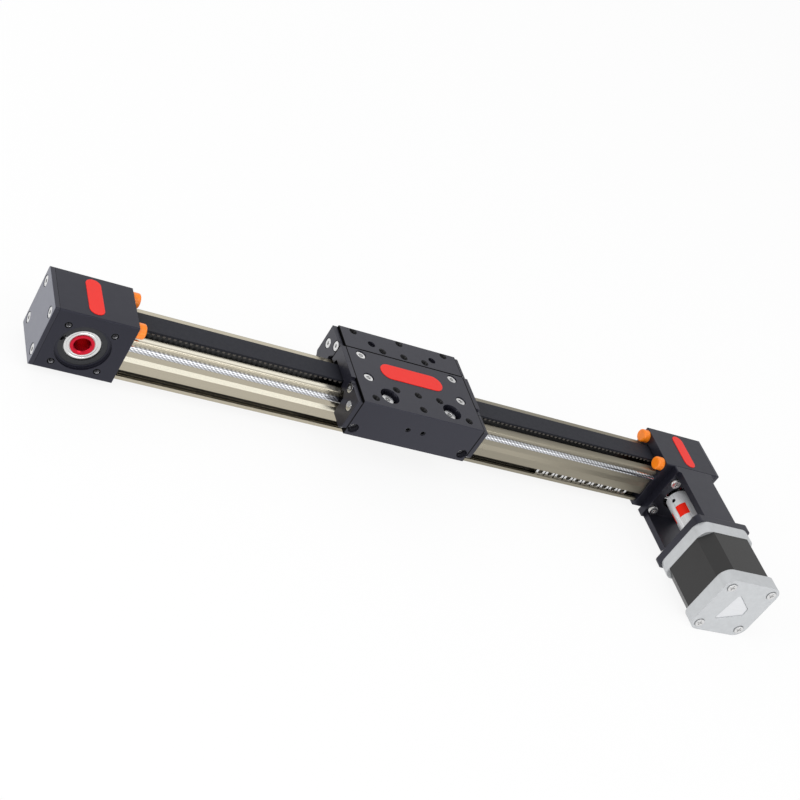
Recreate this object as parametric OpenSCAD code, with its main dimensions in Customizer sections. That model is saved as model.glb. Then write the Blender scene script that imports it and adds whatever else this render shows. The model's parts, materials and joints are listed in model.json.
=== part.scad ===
/* [Rail] */
// Length of the rail between the end blocks
rail_length = 342.5; // [299:1.5:599]
// Width of the rail across its foot
rail_width = 29.6; // [29:0.1:30.4]
// Width of the rail across its upper side walls
rail_neck_width = 28; // [27.6:0.1:28.6]
// Height of the rail
rail_height = 25.5; // [25.2:0.1:25.8]
// Diameter of each hardened guide rod
rod_d = 4; // [3.6:0.1:4.4]
// Height of the guide rods above the rail's foot
rod_height = 20.8; // [20.4:0.1:21]
// How far each guide rod stands out of the side wall
rod_proud = 1.8; // [1.5:0.1:2]
// Opening of the T-slots in the rail's sides
slot_opening = 4.2; // [4:0.1:5]
// Height of the T-slot centre above the foot
slot_height = 4.65; // [4.6:0.05:5]

/* [Belt drive] */
// Pitch of the belt teeth
belt_pitch = 3; // [2.8:0.1:3]
// Number of teeth on each pulley
pulley_teeth = 26; // [24:1:26]
// Width of the belt
belt_width = 12.8; // [11:0.2:13]
// Height of the pulley axes above the rail's foot
axis_height = 15; // [14.8:0.1:15.2]
// Outer diameter of the hollow pulley shafts
hollow_shaft_d = 12; // [11:0.5:12.5]
// Bore of the hollow pulley shafts
hollow_shaft_bore = 8; // [6:0.5:9]
// Outer diameter of the pulley bearings
bearing_d = 24; // [22:1:24]
// Width of the pulley bearings
bearing_w = 6; // [5:0.5:6]

/* [End blocks] */
// Length of each end block along the rail
block_length = 40.6; // [38:0.2:50]
// Width of the end blocks
block_width = 32.3; // [32:0.1:34]
// How far the end blocks reach above the rail's top
block_rise = 9.5; // [9:0.1:12]
// How far the end blocks reach below the rail's foot
block_drop = 2; // [1:0.5:3]
// Thickness of the end cover plates
cover_thickness = 2.4; // [2.2:0.2:5]
// Distance from the rail end to the pulley axis
axis_setback = 21.5; // [21:0.5:23]
// Spacing of the four tapped holes round the pulley bore
bore_hole_spacing = 23.6; // [23.2:0.2:24.4]
// Spacing of the four screws in the end cover
cover_screw_spacing = 24; // [22:0.5:25]
// Diameter of the rubber bumpers
bumper_d = 8; // [6:0.5:8.5]
// How far the bumpers stand out of the blocks
bumper_proud = 4.5; // [3:0.5:6]

/* [Carriage] */
// Place of the carriage centre along the rail
carriage_x = -10; // [-80:1:80]
// Length of the carriage without its end caps
carriage_length = 77.2; // [75:0.1:90]
// Width of the carriage
carriage_width = 62; // [61.6:0.2:68]
// Height of the carriage's top face above the rail's foot
carriage_top = 36.7; // [36.2:0.1:39]
// Height of the carriage's lower edge above the rail's foot
carriage_bottom = 12.7; // [12:0.1:13]
// Thickness of the end caps
cap_thickness = 3.1; // [2.8:0.1:5]
// Diameter of the guide rollers over their flanges
roller_d = 13; // [12:0.2:13.4]
// Width of the guide rollers
roller_w = 7; // [6:0.5:7]
// Spacing of the rollers along the rail
roller_spacing = 40.2; // [38:0.2:42]
// Spacing of the outer tapped holes along the rail
outer_hole_pitch = 30; // [29.6:0.1:31]
// Spacing of the outer tapped rows across the rail
outer_row_width = 54.2; // [53.6:0.2:54.6]
// Spacing of the inner tapped holes along the rail
inner_hole_pitch = 14; // [13:0.1:14]
// Spacing of the inner tapped rows across the rail
inner_row_width = 31.6; // [31:0.1:32]

/* [Motor and coupling] */
// Side of the square motor
motor_side = 42.3; // [42:0.1:43]
// Length of the motor's front flange
motor_flange_l = 7.7; // [6:0.1:10]
// Length of the motor's laminated stack
motor_stack_l = 29; // [20:1:50]
// Length of the motor's rear cap
motor_cap_l = 8.9; // [7:0.1:12]
// Spacing of the motor's screws
motor_screw_spacing = 31; // [31:0.1:31.4]
// Diameter of the motor's centring boss
motor_boss_d = 22; // [20:0.5:22]
// Diameter of the motor's shaft
motor_shaft_d = 5; // [4:0.5:6]
// Distance from the shaft coupling to the motor's flange
coupling_to_motor = 14.3; // [10:0.1:25]
// Height of the coupling housing
housing_height = 40; // [39:0.5:42]
// Width of the housing's bridge walls
housing_wall_width = 25; // [20:0.5:30]
// Width of the housing's flange at the end block
housing_flange_width = 30; // [30:0.5:34]
// Outer diameter of the shaft coupling
coupling_d = 15; // [14:0.5:16]
// Length of the shaft coupling
coupling_l = 27; // [26:0.5:28]

/* [Hidden] */
$fn = 48;

// Colours
satin_black = [0.16, 0.16, 0.18];
champagne = [0.74, 0.69, 0.58];
steel = [0.80, 0.81, 0.83];
rubber_black = [0.08, 0.08, 0.09];
signal_orange = [1.0, 0.42, 0.08];
signal_red = [0.86, 0.14, 0.12];
cast_grey = [0.68, 0.69, 0.70];
stack_black = [0.13, 0.13, 0.14];
felt_grey = [0.45, 0.44, 0.42];

// Clearances
running = 0.05;
seat = 0.02;
overrun = 1;

// Screws: shank radius, head radius, head height, socket across flats
m25 = [1.25, 2.25, 2.5, 2];
m3 = [1.5, 2.75, 3, 2.5];
m3_low = [1.5, 2.75, 1.7, 2];
m4 = [2, 3.5, 4, 3];
m3_core_r = 1.25;
m4_core_r = 1.65;
socket_share = 0.45;
head_clearance = 0.35;

// Rail section
rail_end = rail_length / 2;
foot_half = rail_width / 2;
neck_half = rail_neck_width / 2;
waist_low = 12.2;
waist_high = 15.2;
rail_corner = 0.6;
lip_round = 1.4;
channel_half = 9.4;
channel_floor = 20.8;
chamber_half = 10.4;
chamber_floor = 9.6;
chamber_roof = 17.2;
return_half = 7.6;
return_floor = 1.2;
return_roof = 6.6;
slot_lip = 1.5;
slot_inner = 7.3;
slot_depth = 3.6;
boss_y = 4.3;
boss_z = 13.2;
boss_r = 2.7;
boss_web = 2.4;
rod_r = rod_d / 2;
rod_y = neck_half + rod_proud - rod_r;

// Nuts kept in the front T-slot
nut_count = 10;
nut_across = 6.2;
nut_pitch = 7;
nut_height = 3.2;
nut_from_end = 12;

// Belt and pulleys
pitch_r = pulley_teeth * belt_pitch / (2 * PI);
pitch_to_root = 0.38;
pitch_to_back = 0.82;
tooth_height = 1.2;
tooth_base = 0.3 * belt_pitch;
tooth_tip = 0.18 * belt_pitch;
groove_clear = 0.17;
tooth_clear = 0.06;
tooth_angle = 360 / pulley_teeth;
belt_span = belt_pitch / 2 * round(4 * (rail_end + axis_setback) / belt_pitch);
axis_x = belt_span / 2;
belt_teeth = round(2 * belt_span / belt_pitch) + pulley_teeth;
belt_root_r = pitch_r - pitch_to_root;
belt_back_r = pitch_r + pitch_to_back;
belt_mid_r = (belt_back_r + belt_root_r - tooth_height) / 2;
belt_top = axis_height + belt_back_r;
pulley_half = belt_width / 2 + 0.1;
flange_t = 0.4;
flange_r = belt_back_r + 0.35;
hub_r = 7.4;

// Bearings and their seats, measured inwards from the block's side faces
side_y = block_width / 2;
bore_recess_r = 13.8;
bore_recess = 1.7;
bearing_recess = 2.9;
shaft_recess = 2.4;
circlip_t = 1;
circlip_depth = 0.6;
circlip_ring = 2.6;
lug_angle = 167;
lug_spread = 6.5;
lug_hole_r = 0.7;
bearing_r = bearing_d / 2;
bearing_out = side_y - bearing_recess;
bearing_in = bearing_out - bearing_w;
shield_r = 9.4;
shield_edge = 11.2;
shield_depth = 0.4;
shaft_r = hollow_shaft_d / 2;
shaft_bore_r = hollow_shaft_bore / 2;
shaft_chamfer = 0.6;
cavity_r = flange_r + 0.55;

// End blocks
block_round = 0.7;
block_bottom = -block_drop;
block_top = rail_height + block_rise;
block_end = rail_end + block_length;
cover_end = block_end + cover_thickness;
cover_screw_z = (block_bottom + block_top) / 2;
cover_screw_l = 6;
cover_head_seat = 0.5;
belt_slot_side = 0.5;
belt_slot_half = 1.9;
tapped_depth = 7;
web_seat = 3;
rail_screw_l = 13;
bumper_y = 12;
bumper_z = block_top - bumper_d / 2 - 0.25;
bumper_stem_r = 2;
bumper_stem_l = 4;
bumper_edge = 1;
plate_len = 27;
plate_wid = 8;
plate_t = 0.3;

// Carriage
half_len = carriage_length / 2;
half_wid = carriage_width / 2;
plate_under = belt_top + 1.3;
leg_inner = 17;
seam_y = 13.35;
seam_gap = 0.3;
row_shift = 1.4;
roller_r = roller_d / 2;
roller_gap = 0.7;
roller_y = neck_half + roller_gap + roller_r;
roller_x = roller_spacing / 2;
rod_gap = 0.1;
pocket_r = roller_r + 0.7;
spacer_l = 0.85;
pocket_half = roller_w / 2 + spacer_l + running;
spacer_r = 3.4;
axle_seat = 30.3;
axle_tip = carriage_bottom + 0.5;
bolt_well_r = 5.7;
pin_top = carriage_top - 2.6;
pin_hole_r = 2.3;
cap_middle_half = 12.7;
cap_top = carriage_top - 1.3;
cap_bottom = carriage_bottom + 1.5;
cap_corner = 2.5;
cap_belt_half = 8.6;
cap_inner = leg_inner + 0.3;
notch_y = 14;
clamp_screw_x = 30;
clamp_screw_y = 9.1;
clamp_head_sink = 0.5;
cap_screws = [[25.3, 27], [16.9, 32.3]];
cap_head_seat = 1.3;
cap_screw_l = 7;
wiper_x = 35;
wiper_z = 17.6;
wiper_len = 4;
wiper_half = 3.4;
wiper_in = 15;
wiper_back = 20.4;
leg_head_sink = 3.6;
wiper_screw_l = half_wid - leg_head_sink - m3[2] - wiper_back;
plate_edge = 0.3;
clamp_screw_l = carriage_top - m3[2] - clamp_head_sink - rail_height - 0.8;
grub_x = 4.8;
grub_z = 25;
grub_l = 6;
bar_screw_x = 7;
bar_screw_z = (plate_under + carriage_top) / 2;
bar_screw_l = 20;
bar_head_sink = 4.3;
name_len = 40.2;
name_wid = 12;
clamp_x = 26.5;
clamp_len = 16;
clamp_half = 12.4;
clamp_foot = axis_height + belt_root_r - tooth_height - 2;
clamp_shoulder = rail_height + 0.5;
clamp_foot_half = channel_half - 0.6;
clamp_belt_half = belt_width / 2 + 0.3;

// Coupling housing and motor
housing_flange_t = 4.85;
coupling_gap = 0.75;
housing_length = housing_flange_t + coupling_gap + coupling_l + coupling_to_motor;
housing_plate_t = 4.9;
housing_wall_t = 4;
housing_bore_r = 9.2;
plate_corner = 3;
housing_screw_l = 10.8;
flange_y = side_y + housing_flange_t;
motor_y = side_y + housing_length;
plate_y = motor_y - housing_plate_t;
boss_l = 2;
stack_chamfer = 7.4;
stack_inset = 0.25;
motor_corner_r = 7.4;
rear_corner_r = 7.4;
rotor_r = 10.5;
shaft_end_gap = 0.65;
rotor_gap = 0.4;
spider_l = 8.4;
spider_core_r = 3.2;
spider_inset = 0.1;
spider_turn = 58;
claw_angle = 36;
half_pitch = 360 / 8;
claw_gap = 0.8;
claw_root = 0.5;
hub_l = (coupling_l - spider_l) / 2;
coupling_y = flange_y + coupling_gap;
hub_end = coupling_y + hub_l;
set_screw_turns = [-76, 100];
set_screw_sink = 0.4;
jaw_gap = 0.05;
drive_stub_r = shaft_bore_r - seat;
drive_stub_end = hub_end - 0.3;
stack_y = motor_y + motor_flange_l;
cap_y = stack_y + motor_stack_l;
motor_back = cap_y + motor_cap_l;
tie_r = 1.5;
tie_head_r = 2.8;
tie_head_t = 0.5;
recess_depth = 0.6;
recess_round = 1.6;
recess_steps = 4;
socket_len = 16;
socket_h = 6.4;
socket_out = 5.5;

// A rectangle with rounded corners
module round_box(u0, u1, v0, v1, r) {
  translate([u0 + r, v0]) square([u1 - u0 - 2 * r, v1 - v0]);
  translate([u0, v0 + r]) square([u1 - u0, v1 - v0 - 2 * r]);
  for (u = [u0 + r, u1 - r], v = [v0 + r, v1 - r]) translate([u, v]) circle(r);
}

// A shape drawn in Y and Z, pushed along X from x0 to x1
module along_x(x0, x1) translate([x0, 0, 0]) rotate([90, 0, 90]) linear_extrude(x1 - x0) children();

// A shape drawn in X and Z, pushed along Y from y0 to y1
module along_y(y0, y1) translate([0, y1, 0]) rotate([90, 0, 0]) linear_extrude(y1 - y0) children();

// Round bars along X, Y and Z
module bar_x(y, z, r, x0, x1) translate([x0, y, z]) rotate([0, 90, 0]) cylinder(h = x1 - x0, r = r);
module bar_y(x, z, r, y0, y1) translate([x, y1, z]) rotate([90, 0, 0]) cylinder(h = y1 - y0, r = r);
module bar_z(x, y, r, z0, z1) translate([x, y, z0]) cylinder(h = z1 - z0, r = r);

// The same thing on both sides of the middle plane of X, Y or Z
module both_x() for (m = [0, 1]) mirror([m, 0, 0]) children();
module both_y() for (m = [0, 1]) mirror([0, m, 0]) children();

// A socket head screw seated on z = 0 with its head up
module cap_screw(m, length) {
  difference() {
    cylinder(h = m[2], r = m[1]);
    translate([0, 0, m[2] * socket_share]) cylinder(h = m[2], r = m[3] / sqrt(3), $fn = 6);
  }
  translate([0, 0, -length]) cylinder(h = length, r = m[0]);
}

// A headless screw from z = -length to z = 0, socket up
module grub_screw(m, length) {
  difference() {
    translate([0, 0, -length]) cylinder(h = length, r = m[0]);
    translate([0, 0, -m[0]]) cylinder(h = length, r = m[3] / sqrt(3) * 0.8, $fn = 6);
  }
}

// The room for a screw: shank hole, and a counterbore of the given depth
module screw_room(m, length, sink) {
  translate([0, 0, -length - overrun / 2]) cylinder(h = length + overrun, r = m[0] + seat);
  cylinder(h = sink + overrun, r = m[1] + head_clearance);
}

// Stand children at a point with their up direction towards X, Y, -Y or -Z
module to_x(p) translate(p) rotate([0, 90, 0]) children();
module to_back(p) translate(p) rotate([-90, 0, 0]) children();
module to_front(p) translate(p) rotate([90, 0, 0]) children();

// A plate with round ends, long along X
module pill(length, width, t) {
  linear_extrude(t) {
    square([length - width, width], center = true);
    for (s = [-1, 1]) translate([s * (length - width) / 2, 0]) circle(width / 2);
  }
}

// ---- Rail ----

module rail_half() {
  polygon([
    [0, 0], [foot_half - rail_corner, 0], [foot_half, rail_corner], [foot_half, waist_low],
    [neck_half, waist_high], [neck_half, rail_height - lip_round], [neck_half - lip_round, rail_height],
    [0, rail_height]
  ]);
  translate([neck_half - lip_round, rail_height - lip_round]) circle(lip_round);
}

module rail_half_cuts() {
  translate([foot_half - slot_lip, slot_height - slot_opening / 2])
    square([slot_lip + overrun, slot_opening]);
  translate([foot_half - slot_lip - slot_depth, slot_height - slot_inner / 2])
    square([slot_depth, slot_inner]);
  translate([rod_y, rod_height]) circle(rod_r + seat);
  difference() {
    translate([-overrun, chamber_floor]) square([chamber_half + overrun, chamber_roof - chamber_floor]);
    translate([boss_y, boss_z]) circle(boss_r);
    translate([boss_y - boss_web / 2, chamber_floor]) square([boss_web, boss_z - chamber_floor]);
  }
  translate([boss_y, boss_z]) circle(m3[0] + seat);
}

module rail_section() {
  difference() {
    both_x() rail_half();
    both_x() rail_half_cuts();
    translate([-channel_half, channel_floor]) square([2 * channel_half, rail_height]);
    translate([-return_half, return_floor]) square([2 * return_half, return_roof - return_floor]);
  }
}

module rail_profile() {
  color(champagne) along_x(-rail_end, rail_end) rail_section();
}

module guide_rod(side) {
  color(steel) bar_x(side * rod_y, rod_height, rod_r, -rail_end, rail_end);
}
module front_guide_rod() guide_rod(-1);
module back_guide_rod() guide_rod(1);

module slot_nuts() {
  color(steel) for (i = [0 : nut_count - 1]) {
    x = rail_end - nut_from_end - i * nut_pitch;
    to_back([x, -(foot_half - slot_lip), slot_height]) difference() {
      rotate(30) cylinder(h = nut_height, r = nut_across / sqrt(3), $fn = 6);
      translate([0, 0, -overrun]) cylinder(h = nut_height + 2 * overrun, r = m4_core_r);
    }
  }
}

// ---- Belt ----

// One belt tooth as [distance along the belt, radius], made larger by grow
function tooth(grow) = [
  [-tooth_base - grow, belt_root_r], [-tooth_tip - grow, belt_root_r - tooth_height - grow],
  [tooth_tip + grow, belt_root_r - tooth_height - grow], [tooth_base + grow, belt_root_r]
];

// A point at distance s along the loop and radius r from the line of axes. The loop starts over the
// idler, runs to the drive pulley, round it, back underneath and round the idler.
wrap_l = pulley_teeth * belt_pitch / 2;
loop_l = 2 * (belt_span + wrap_l);
spacing = loop_l / belt_teeth;
function on_loop(s, r, d) =
  s < belt_span ? [s + d - axis_x, r] :
  s < belt_span + wrap_l ? round_end(1, 90 - (s - belt_span) / pitch_r * 180 / PI, r, d) :
  s < 2 * belt_span + wrap_l ? [axis_x - (s - belt_span - wrap_l) - d, -r] :
  round_end(-1, -90 - (s - 2 * belt_span - wrap_l) / pitch_r * 180 / PI, r, d);
function round_end(side, a, r, d) =
  [side * axis_x + r * cos(a) + d * sin(a), r * sin(a) - d * cos(a)];

module belt_inside(grow) {
  polygon([for (k = [0 : belt_teeth - 1]) each [for (q = tooth(grow)) on_loop(k * spacing, q[1], q[0])]]);
}

module belt_outside() {
  square([belt_span, 2 * belt_back_r], center = true);
  for (s = [-1, 1]) translate([s * axis_x, 0]) circle(belt_back_r, $fn = 96);
}

module toothed_belt() {
  color(rubber_black) translate([0, 0, axis_height]) along_y(-belt_width / 2, belt_width / 2) difference() {
    belt_outside();
    belt_inside(0);
  }
}

// ---- Pulleys and their bearings ----

// The toothed outline: one groove for every belt tooth that lies on this end of the loop
module pulley_outline(first) {
  difference() {
    circle(belt_root_r - running, $fn = 104);
    for (i = [0 : pulley_teeth - 1]) rotate(first + i * tooth_angle) polygon([
      for (q = [[-tooth_base - groove_clear, belt_root_r + overrun], [-tooth_base - groove_clear, belt_root_r - running],
        [-tooth_tip - groove_clear, belt_root_r - tooth_height - groove_clear],
        [tooth_tip + groove_clear, belt_root_r - tooth_height - groove_clear],
        [tooth_base + groove_clear, belt_root_r - running], [tooth_base + groove_clear, belt_root_r + overrun]]) q
    ]);
  }
}

module pulley(x, first) {
  color(steel) translate([x, 0, axis_height]) difference() {
    union() {
      along_y(-pulley_half, pulley_half) pulley_outline(first);
      both_y() bar_y(0, 0, flange_r, pulley_half, pulley_half + flange_t);
      bar_y(0, 0, hub_r, -bearing_in + seat, bearing_in - seat);
    }
    bar_y(0, 0, shaft_r + seat, -side_y, side_y);
  }
}

// Turn of the grooves that meets the belt's teeth at each end
idler_first = 0;
drive_first = -(ceil(belt_span / spacing) * spacing - belt_span) / pitch_r * 180 / PI;
module idler_pulley() pulley(-axis_x, idler_first);
module drive_pulley() pulley(axis_x, drive_first);

module hollow_shaft(x) {
  half = side_y - shaft_recess;
  color(signal_red) translate([x, half, axis_height]) rotate([90, 0, 0]) rotate_extrude() polygon([
    [shaft_bore_r + shaft_chamfer, 0], [shaft_r, 0], [shaft_r, 2 * half],
    [shaft_bore_r + shaft_chamfer, 2 * half], [shaft_bore_r, 2 * half - shaft_chamfer],
    [shaft_bore_r, shaft_chamfer]
  ]);
}
module idler_hollow_shaft() hollow_shaft(-axis_x);
module drive_hollow_shaft() hollow_shaft(axis_x);

module bearings(x) {
  color(steel) translate([x, 0, axis_height]) both_y() translate([0, bearing_out, 0]) rotate([90, 0, 0])
    rotate_extrude() polygon([
      [shaft_r + seat, 0], [shield_r, 0], [shield_r, shield_depth], [shield_edge, shield_depth], [shield_edge, 0],
      [bearing_r - seat, 0], [bearing_r - seat, bearing_w], [shaft_r + seat, bearing_w]
    ]);
}
module idler_bearings() bearings(-axis_x);
module drive_bearings() bearings(axis_x);

module circlips(x) {
  lug_r = bearing_r - 0.7;
  color(stack_black) translate([x, 0, axis_height]) both_y() along_y(bearing_out + seat, bearing_out + circlip_t)
    difference() {
      circle(bearing_r + circlip_depth - seat);
      circle(bearing_r - circlip_ring);
      rotate(lug_angle) translate([bearing_r - circlip_ring - 1, -0.9]) square([circlip_ring + 3, 1.8]);
      for (s = [-1, 1]) rotate(lug_angle + s * lug_spread) translate([lug_r, 0]) circle(lug_hole_r, $fn = 24);
    }
}
module idler_circlips() circlips(-axis_x);
module drive_circlips() circlips(axis_x);

// ---- End blocks, drawn at the right-hand end ----

module at_cover_screws() {
  for (y = [-0.5, 0.5], z = [-0.5, 0.5])
    to_x([block_end + cover_head_seat, y * cover_screw_spacing, cover_screw_z + z * cover_screw_spacing])
      children();
}

module at_rail_screws() {
  for (s = [-1, 1]) to_x([rail_end + web_seat, s * boss_y, boss_z]) children();
}

// The pocket for the pulley, open towards the end cover, and the two slots for the belt
module pulley_room() {
  along_y(-bearing_in - seat, bearing_in + seat) {
    translate([axis_x, axis_height]) circle(cavity_r);
    translate([axis_x, axis_height - cavity_r]) square([block_length, 2 * cavity_r]);
  }
  for (s = [-1, 1])
    translate([rail_end - overrun, -belt_width / 2 - belt_slot_side,
      axis_height + s * belt_mid_r - belt_slot_half])
      cube([axis_setback + overrun, belt_width + 2 * belt_slot_side, 2 * belt_slot_half]);
}

module bearing_room() {
  translate([0, 0, axis_height]) both_y() {
    bar_y(axis_x, 0, bearing_r, 0, side_y + overrun);
    bar_y(axis_x, 0, bearing_r + circlip_depth, bearing_out, bearing_out + circlip_t + seat);
    bar_y(axis_x, 0, bore_recess_r, side_y - bore_recess, side_y + overrun);
  }
}

module bore_holes() {
  for (x = [-0.5, 0.5], z = [-0.5, 0.5]) both_y()
    bar_y(axis_x + x * bore_hole_spacing, axis_height + z * bore_hole_spacing, m3_core_r,
      side_y - tapped_depth, side_y + overrun);
}

module at_bumpers() {
  for (s = [-1, 1]) translate([rail_end, s * bumper_y, bumper_z]) children();
}

module end_block() {
  color(satin_black) difference() {
    along_x(rail_end, block_end) round_box(-side_y, side_y, block_bottom, block_top, block_round);
    pulley_room();
    bearing_room();
    bore_holes();
    at_cover_screws() screw_room(m3_low, cover_screw_l, 0);
    at_rail_screws() screw_room(m3, rail_screw_l, axis_setback / 2);
    at_bumpers() bar_x(0, 0, bumper_stem_r + seat, -overrun, bumper_stem_l);
    children();
  }
}

module end_cover() {
  color(satin_black) difference() {
    along_x(block_end, cover_end) round_box(-side_y, side_y, block_bottom, block_top, block_round);
    at_cover_screws() screw_room(m3_low, cover_screw_l, cover_thickness);
  }
}

module cover_screws() color(steel) at_cover_screws() cap_screw(m3_low, cover_screw_l);
module rail_screws() color(steel) at_rail_screws() cap_screw(m3, rail_screw_l);

module bumpers() {
  r = bumper_d / 2;
  color(signal_orange) at_bumpers() rotate([0, -90, 0]) rotate_extrude() {
    translate([0, -bumper_stem_l + 0.2]) square([bumper_stem_r, bumper_stem_l]);
    square([r, bumper_proud - bumper_edge]);
    square([r - bumper_edge, bumper_proud]);
    translate([r - bumper_edge, bumper_proud - bumper_edge]) intersection() {
      circle(bumper_edge);
      square(bumper_edge);
    }
  }
}

module block_name_plate() {
  color(signal_red) translate([axis_x, 0, block_top]) rotate(90) pill(plate_len, plate_wid, plate_t);
}

module idler_block() mirror([1, 0, 0]) end_block();
module idler_end_cover() mirror([1, 0, 0]) end_cover();
module idler_cover_screws() mirror([1, 0, 0]) cover_screws();
module idler_rail_screws() mirror([1, 0, 0]) rail_screws();
module idler_bumpers() mirror([1, 0, 0]) bumpers();
module idler_name_plate() mirror([1, 0, 0]) block_name_plate();
module drive_block() end_block() at_housing_screws() screw_room(m3, housing_screw_l, 0);
module drive_end_cover() end_cover();
module drive_cover_screws() cover_screws();
module drive_rail_screws() rail_screws();
module drive_bumpers() bumpers();
module drive_name_plate() block_name_plate();

// ---- Coupling housing, on the front side of the drive block ----

module at_housing_screws() {
  for (x = [-0.5, 0.5], z = [-0.5, 0.5])
    to_front([axis_x + x * bore_hole_spacing, -flange_y, axis_height + z * bore_hole_spacing]) children();
}

module at_motor_screws(y) {
  for (x = [-0.5, 0.5], z = [-0.5, 0.5])
    to_back([axis_x + x * motor_screw_spacing, y, axis_height + z * motor_screw_spacing]) children();
}

// A piece of the drive side, drawn in X and Z about the shaft, from one distance to another
module drive_slab(y0, y1) translate([axis_x, 0, axis_height]) along_y(-y1, -y0) children();

module coupling_housing() {
  half_h = housing_height / 2;
  half_m = motor_side / 2;
  color(satin_black) difference() {
    union() {
      drive_slab(side_y, flange_y)
        round_box(-housing_flange_width / 2, housing_flange_width / 2, -half_h, half_h, block_round);
      for (s = [0, 1]) drive_slab(flange_y - overrun, plate_y + overrun) mirror([0, s])
        translate([-housing_wall_width / 2, half_h - housing_wall_t])
          square([housing_wall_width, housing_wall_t]);
      drive_slab(plate_y, motor_y) round_box(-half_m, half_m, -half_m, half_m, plate_corner);
    }
    drive_slab(side_y - overrun, flange_y + overrun) circle(housing_bore_r);
    drive_slab(plate_y - overrun, motor_y + overrun) circle(motor_boss_d / 2 + running);
    at_housing_screws() screw_room(m3, housing_screw_l, m3[2]);
    at_motor_screws(-plate_y) screw_room(m3, housing_plate_t, m3[2]);
  }
}

module housing_screws() color(steel) at_housing_screws() cap_screw(m3, housing_screw_l);

// ---- Coupling ----

// A pie slice of the given angle, centred on the first axis, between two radii
module sector(r0, r1, angle) {
  half = angle / 2;
  intersection() {
    difference() {
      circle(r1);
      circle(r0);
    }
    polygon([[0, 0], [2 * r1 * cos(half), -2 * r1 * sin(half)], [2 * r1 * cos(half), 2 * r1 * sin(half)]]);
  }
}

// One hub: a ring and two opposite claws that reach between the spider's arms
module coupling_hub(y0, y1, claw0, claw1, turn, bore_r) {
  r = coupling_d / 2;
  color(steel) difference() {
    union() {
      drive_slab(y0, y1) circle(r);
      for (i = [0, 1]) drive_slab(claw0, claw1) rotate(turn + 180 * i)
        sector(spider_core_r + jaw_gap, r, claw_angle - claw_gap);
    }
    drive_slab(y0 - overrun, y1 + overrun) circle(bore_r);
    for (i = [0, 1]) at_set_screw(i) cylinder(h = coupling_d, r = m25[0] + seat);
  }
}

// The place of a hub's set screw
module at_set_screw(i) {
  y = coupling_y + hub_l / 2 + i * (coupling_l - hub_l);
  translate([axis_x, -y, axis_height]) rotate([0, set_screw_turns[i], 0]) children();
}

module coupling_drive_hub() {
  coupling_hub(coupling_y, hub_end, hub_end - claw_root, hub_end + spider_l - jaw_gap,
    spider_turn + half_pitch, drive_stub_r + seat);
}
module coupling_motor_hub() {
  far = hub_end + spider_l;
  coupling_hub(far, far + hub_l, hub_end + jaw_gap, far + claw_root, spider_turn - half_pitch, motor_shaft_d / 2 + seat);
}
module coupling_spider() {
  color(signal_red) drive_slab(hub_end + jaw_gap, hub_end + spider_l - jaw_gap) {
    circle(spider_core_r);
    for (i = [0 : 3]) rotate(spider_turn + 90 * i)
      sector(spider_core_r / 2, coupling_d / 2 - spider_inset, 90 - claw_angle - claw_gap);
  }
}
module coupling_set_screws() {
  color(stack_black) for (i = [0, 1]) {
    shaft = i == 0 ? drive_stub_r : motor_shaft_d / 2;
    at_set_screw(i) translate([0, 0, coupling_d / 2 - set_screw_sink])
      grub_screw(m25, coupling_d / 2 - set_screw_sink - shaft);
  }
}

module drive_shaft() {
  color(steel) bar_y(axis_x, axis_height, drive_stub_r, -drive_stub_end, side_y - shaft_recess - shaft_chamfer);
}

// ---- Motor ----

// The shaft with the rotor's drum on it
module motor_shaft() {
  color(steel) {
    bar_y(axis_x, axis_height, motor_shaft_d / 2, -motor_back + 3, -hub_end - spider_l - shaft_end_gap);
    bar_y(axis_x, axis_height, rotor_r, -cap_y + overrun, -stack_y - overrun);
  }
}

module motor_front_flange() {
  half = motor_side / 2;
  color(cast_grey) difference() {
    union() {
      drive_slab(motor_y, stack_y) round_box(-half, half, -half, half, motor_corner_r);
      drive_slab(motor_y - boss_l, motor_y + overrun) circle(motor_boss_d / 2);
    }
    drive_slab(motor_y - boss_l - overrun, stack_y + overrun) circle(motor_shaft_d / 2 + running);
    at_motor_screws(-stack_y) translate([0, 0, -overrun])
      cylinder(h = motor_flange_l + 2 * overrun, r = m3[0] + seat);
  }
}

module motor_stack() {
  half = motor_side / 2 - stack_inset;
  c = stack_chamfer;
  color(stack_black) difference() {
    drive_slab(stack_y, cap_y) polygon([
      [-half + c, -half], [half - c, -half], [half, -half + c], [half, half - c],
      [half - c, half], [-half + c, half], [-half, half - c], [-half, -half + c]
    ]);
    drive_slab(stack_y - overrun, cap_y + overrun) circle(rotor_r + rotor_gap);
    at_motor_screws(-cap_y) translate([0, 0, -overrun])
      cylinder(h = motor_stack_l + 2 * overrun, r = tie_r + seat);
  }
}

module motor_rear_cap() {
  half = motor_side / 2;
  color(cast_grey) difference() {
    drive_slab(cap_y, motor_back) round_box(-half, half, -half, half, rear_corner_r);
    drive_slab(cap_y - overrun, motor_back - 2.5) circle(motor_shaft_d / 2 + running);
    at_motor_screws(-motor_back) {
      translate([0, 0, -overrun]) cylinder(h = motor_cap_l + 2 * overrun, r = tie_r + seat);
      translate([0, 0, -overrun]) cylinder(h = overrun + tie_head_t, r = tie_head_r + 0.3);
    }
    drive_slab(motor_back - recess_depth, motor_back + overrun) rear_recess();
    translate([axis_x + half - socket_out, -cap_y - motor_cap_l / 2 - socket_h / 2, axis_height - socket_len / 2])
      cube([socket_out + overrun, socket_h, socket_len]);
  }
}

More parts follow.
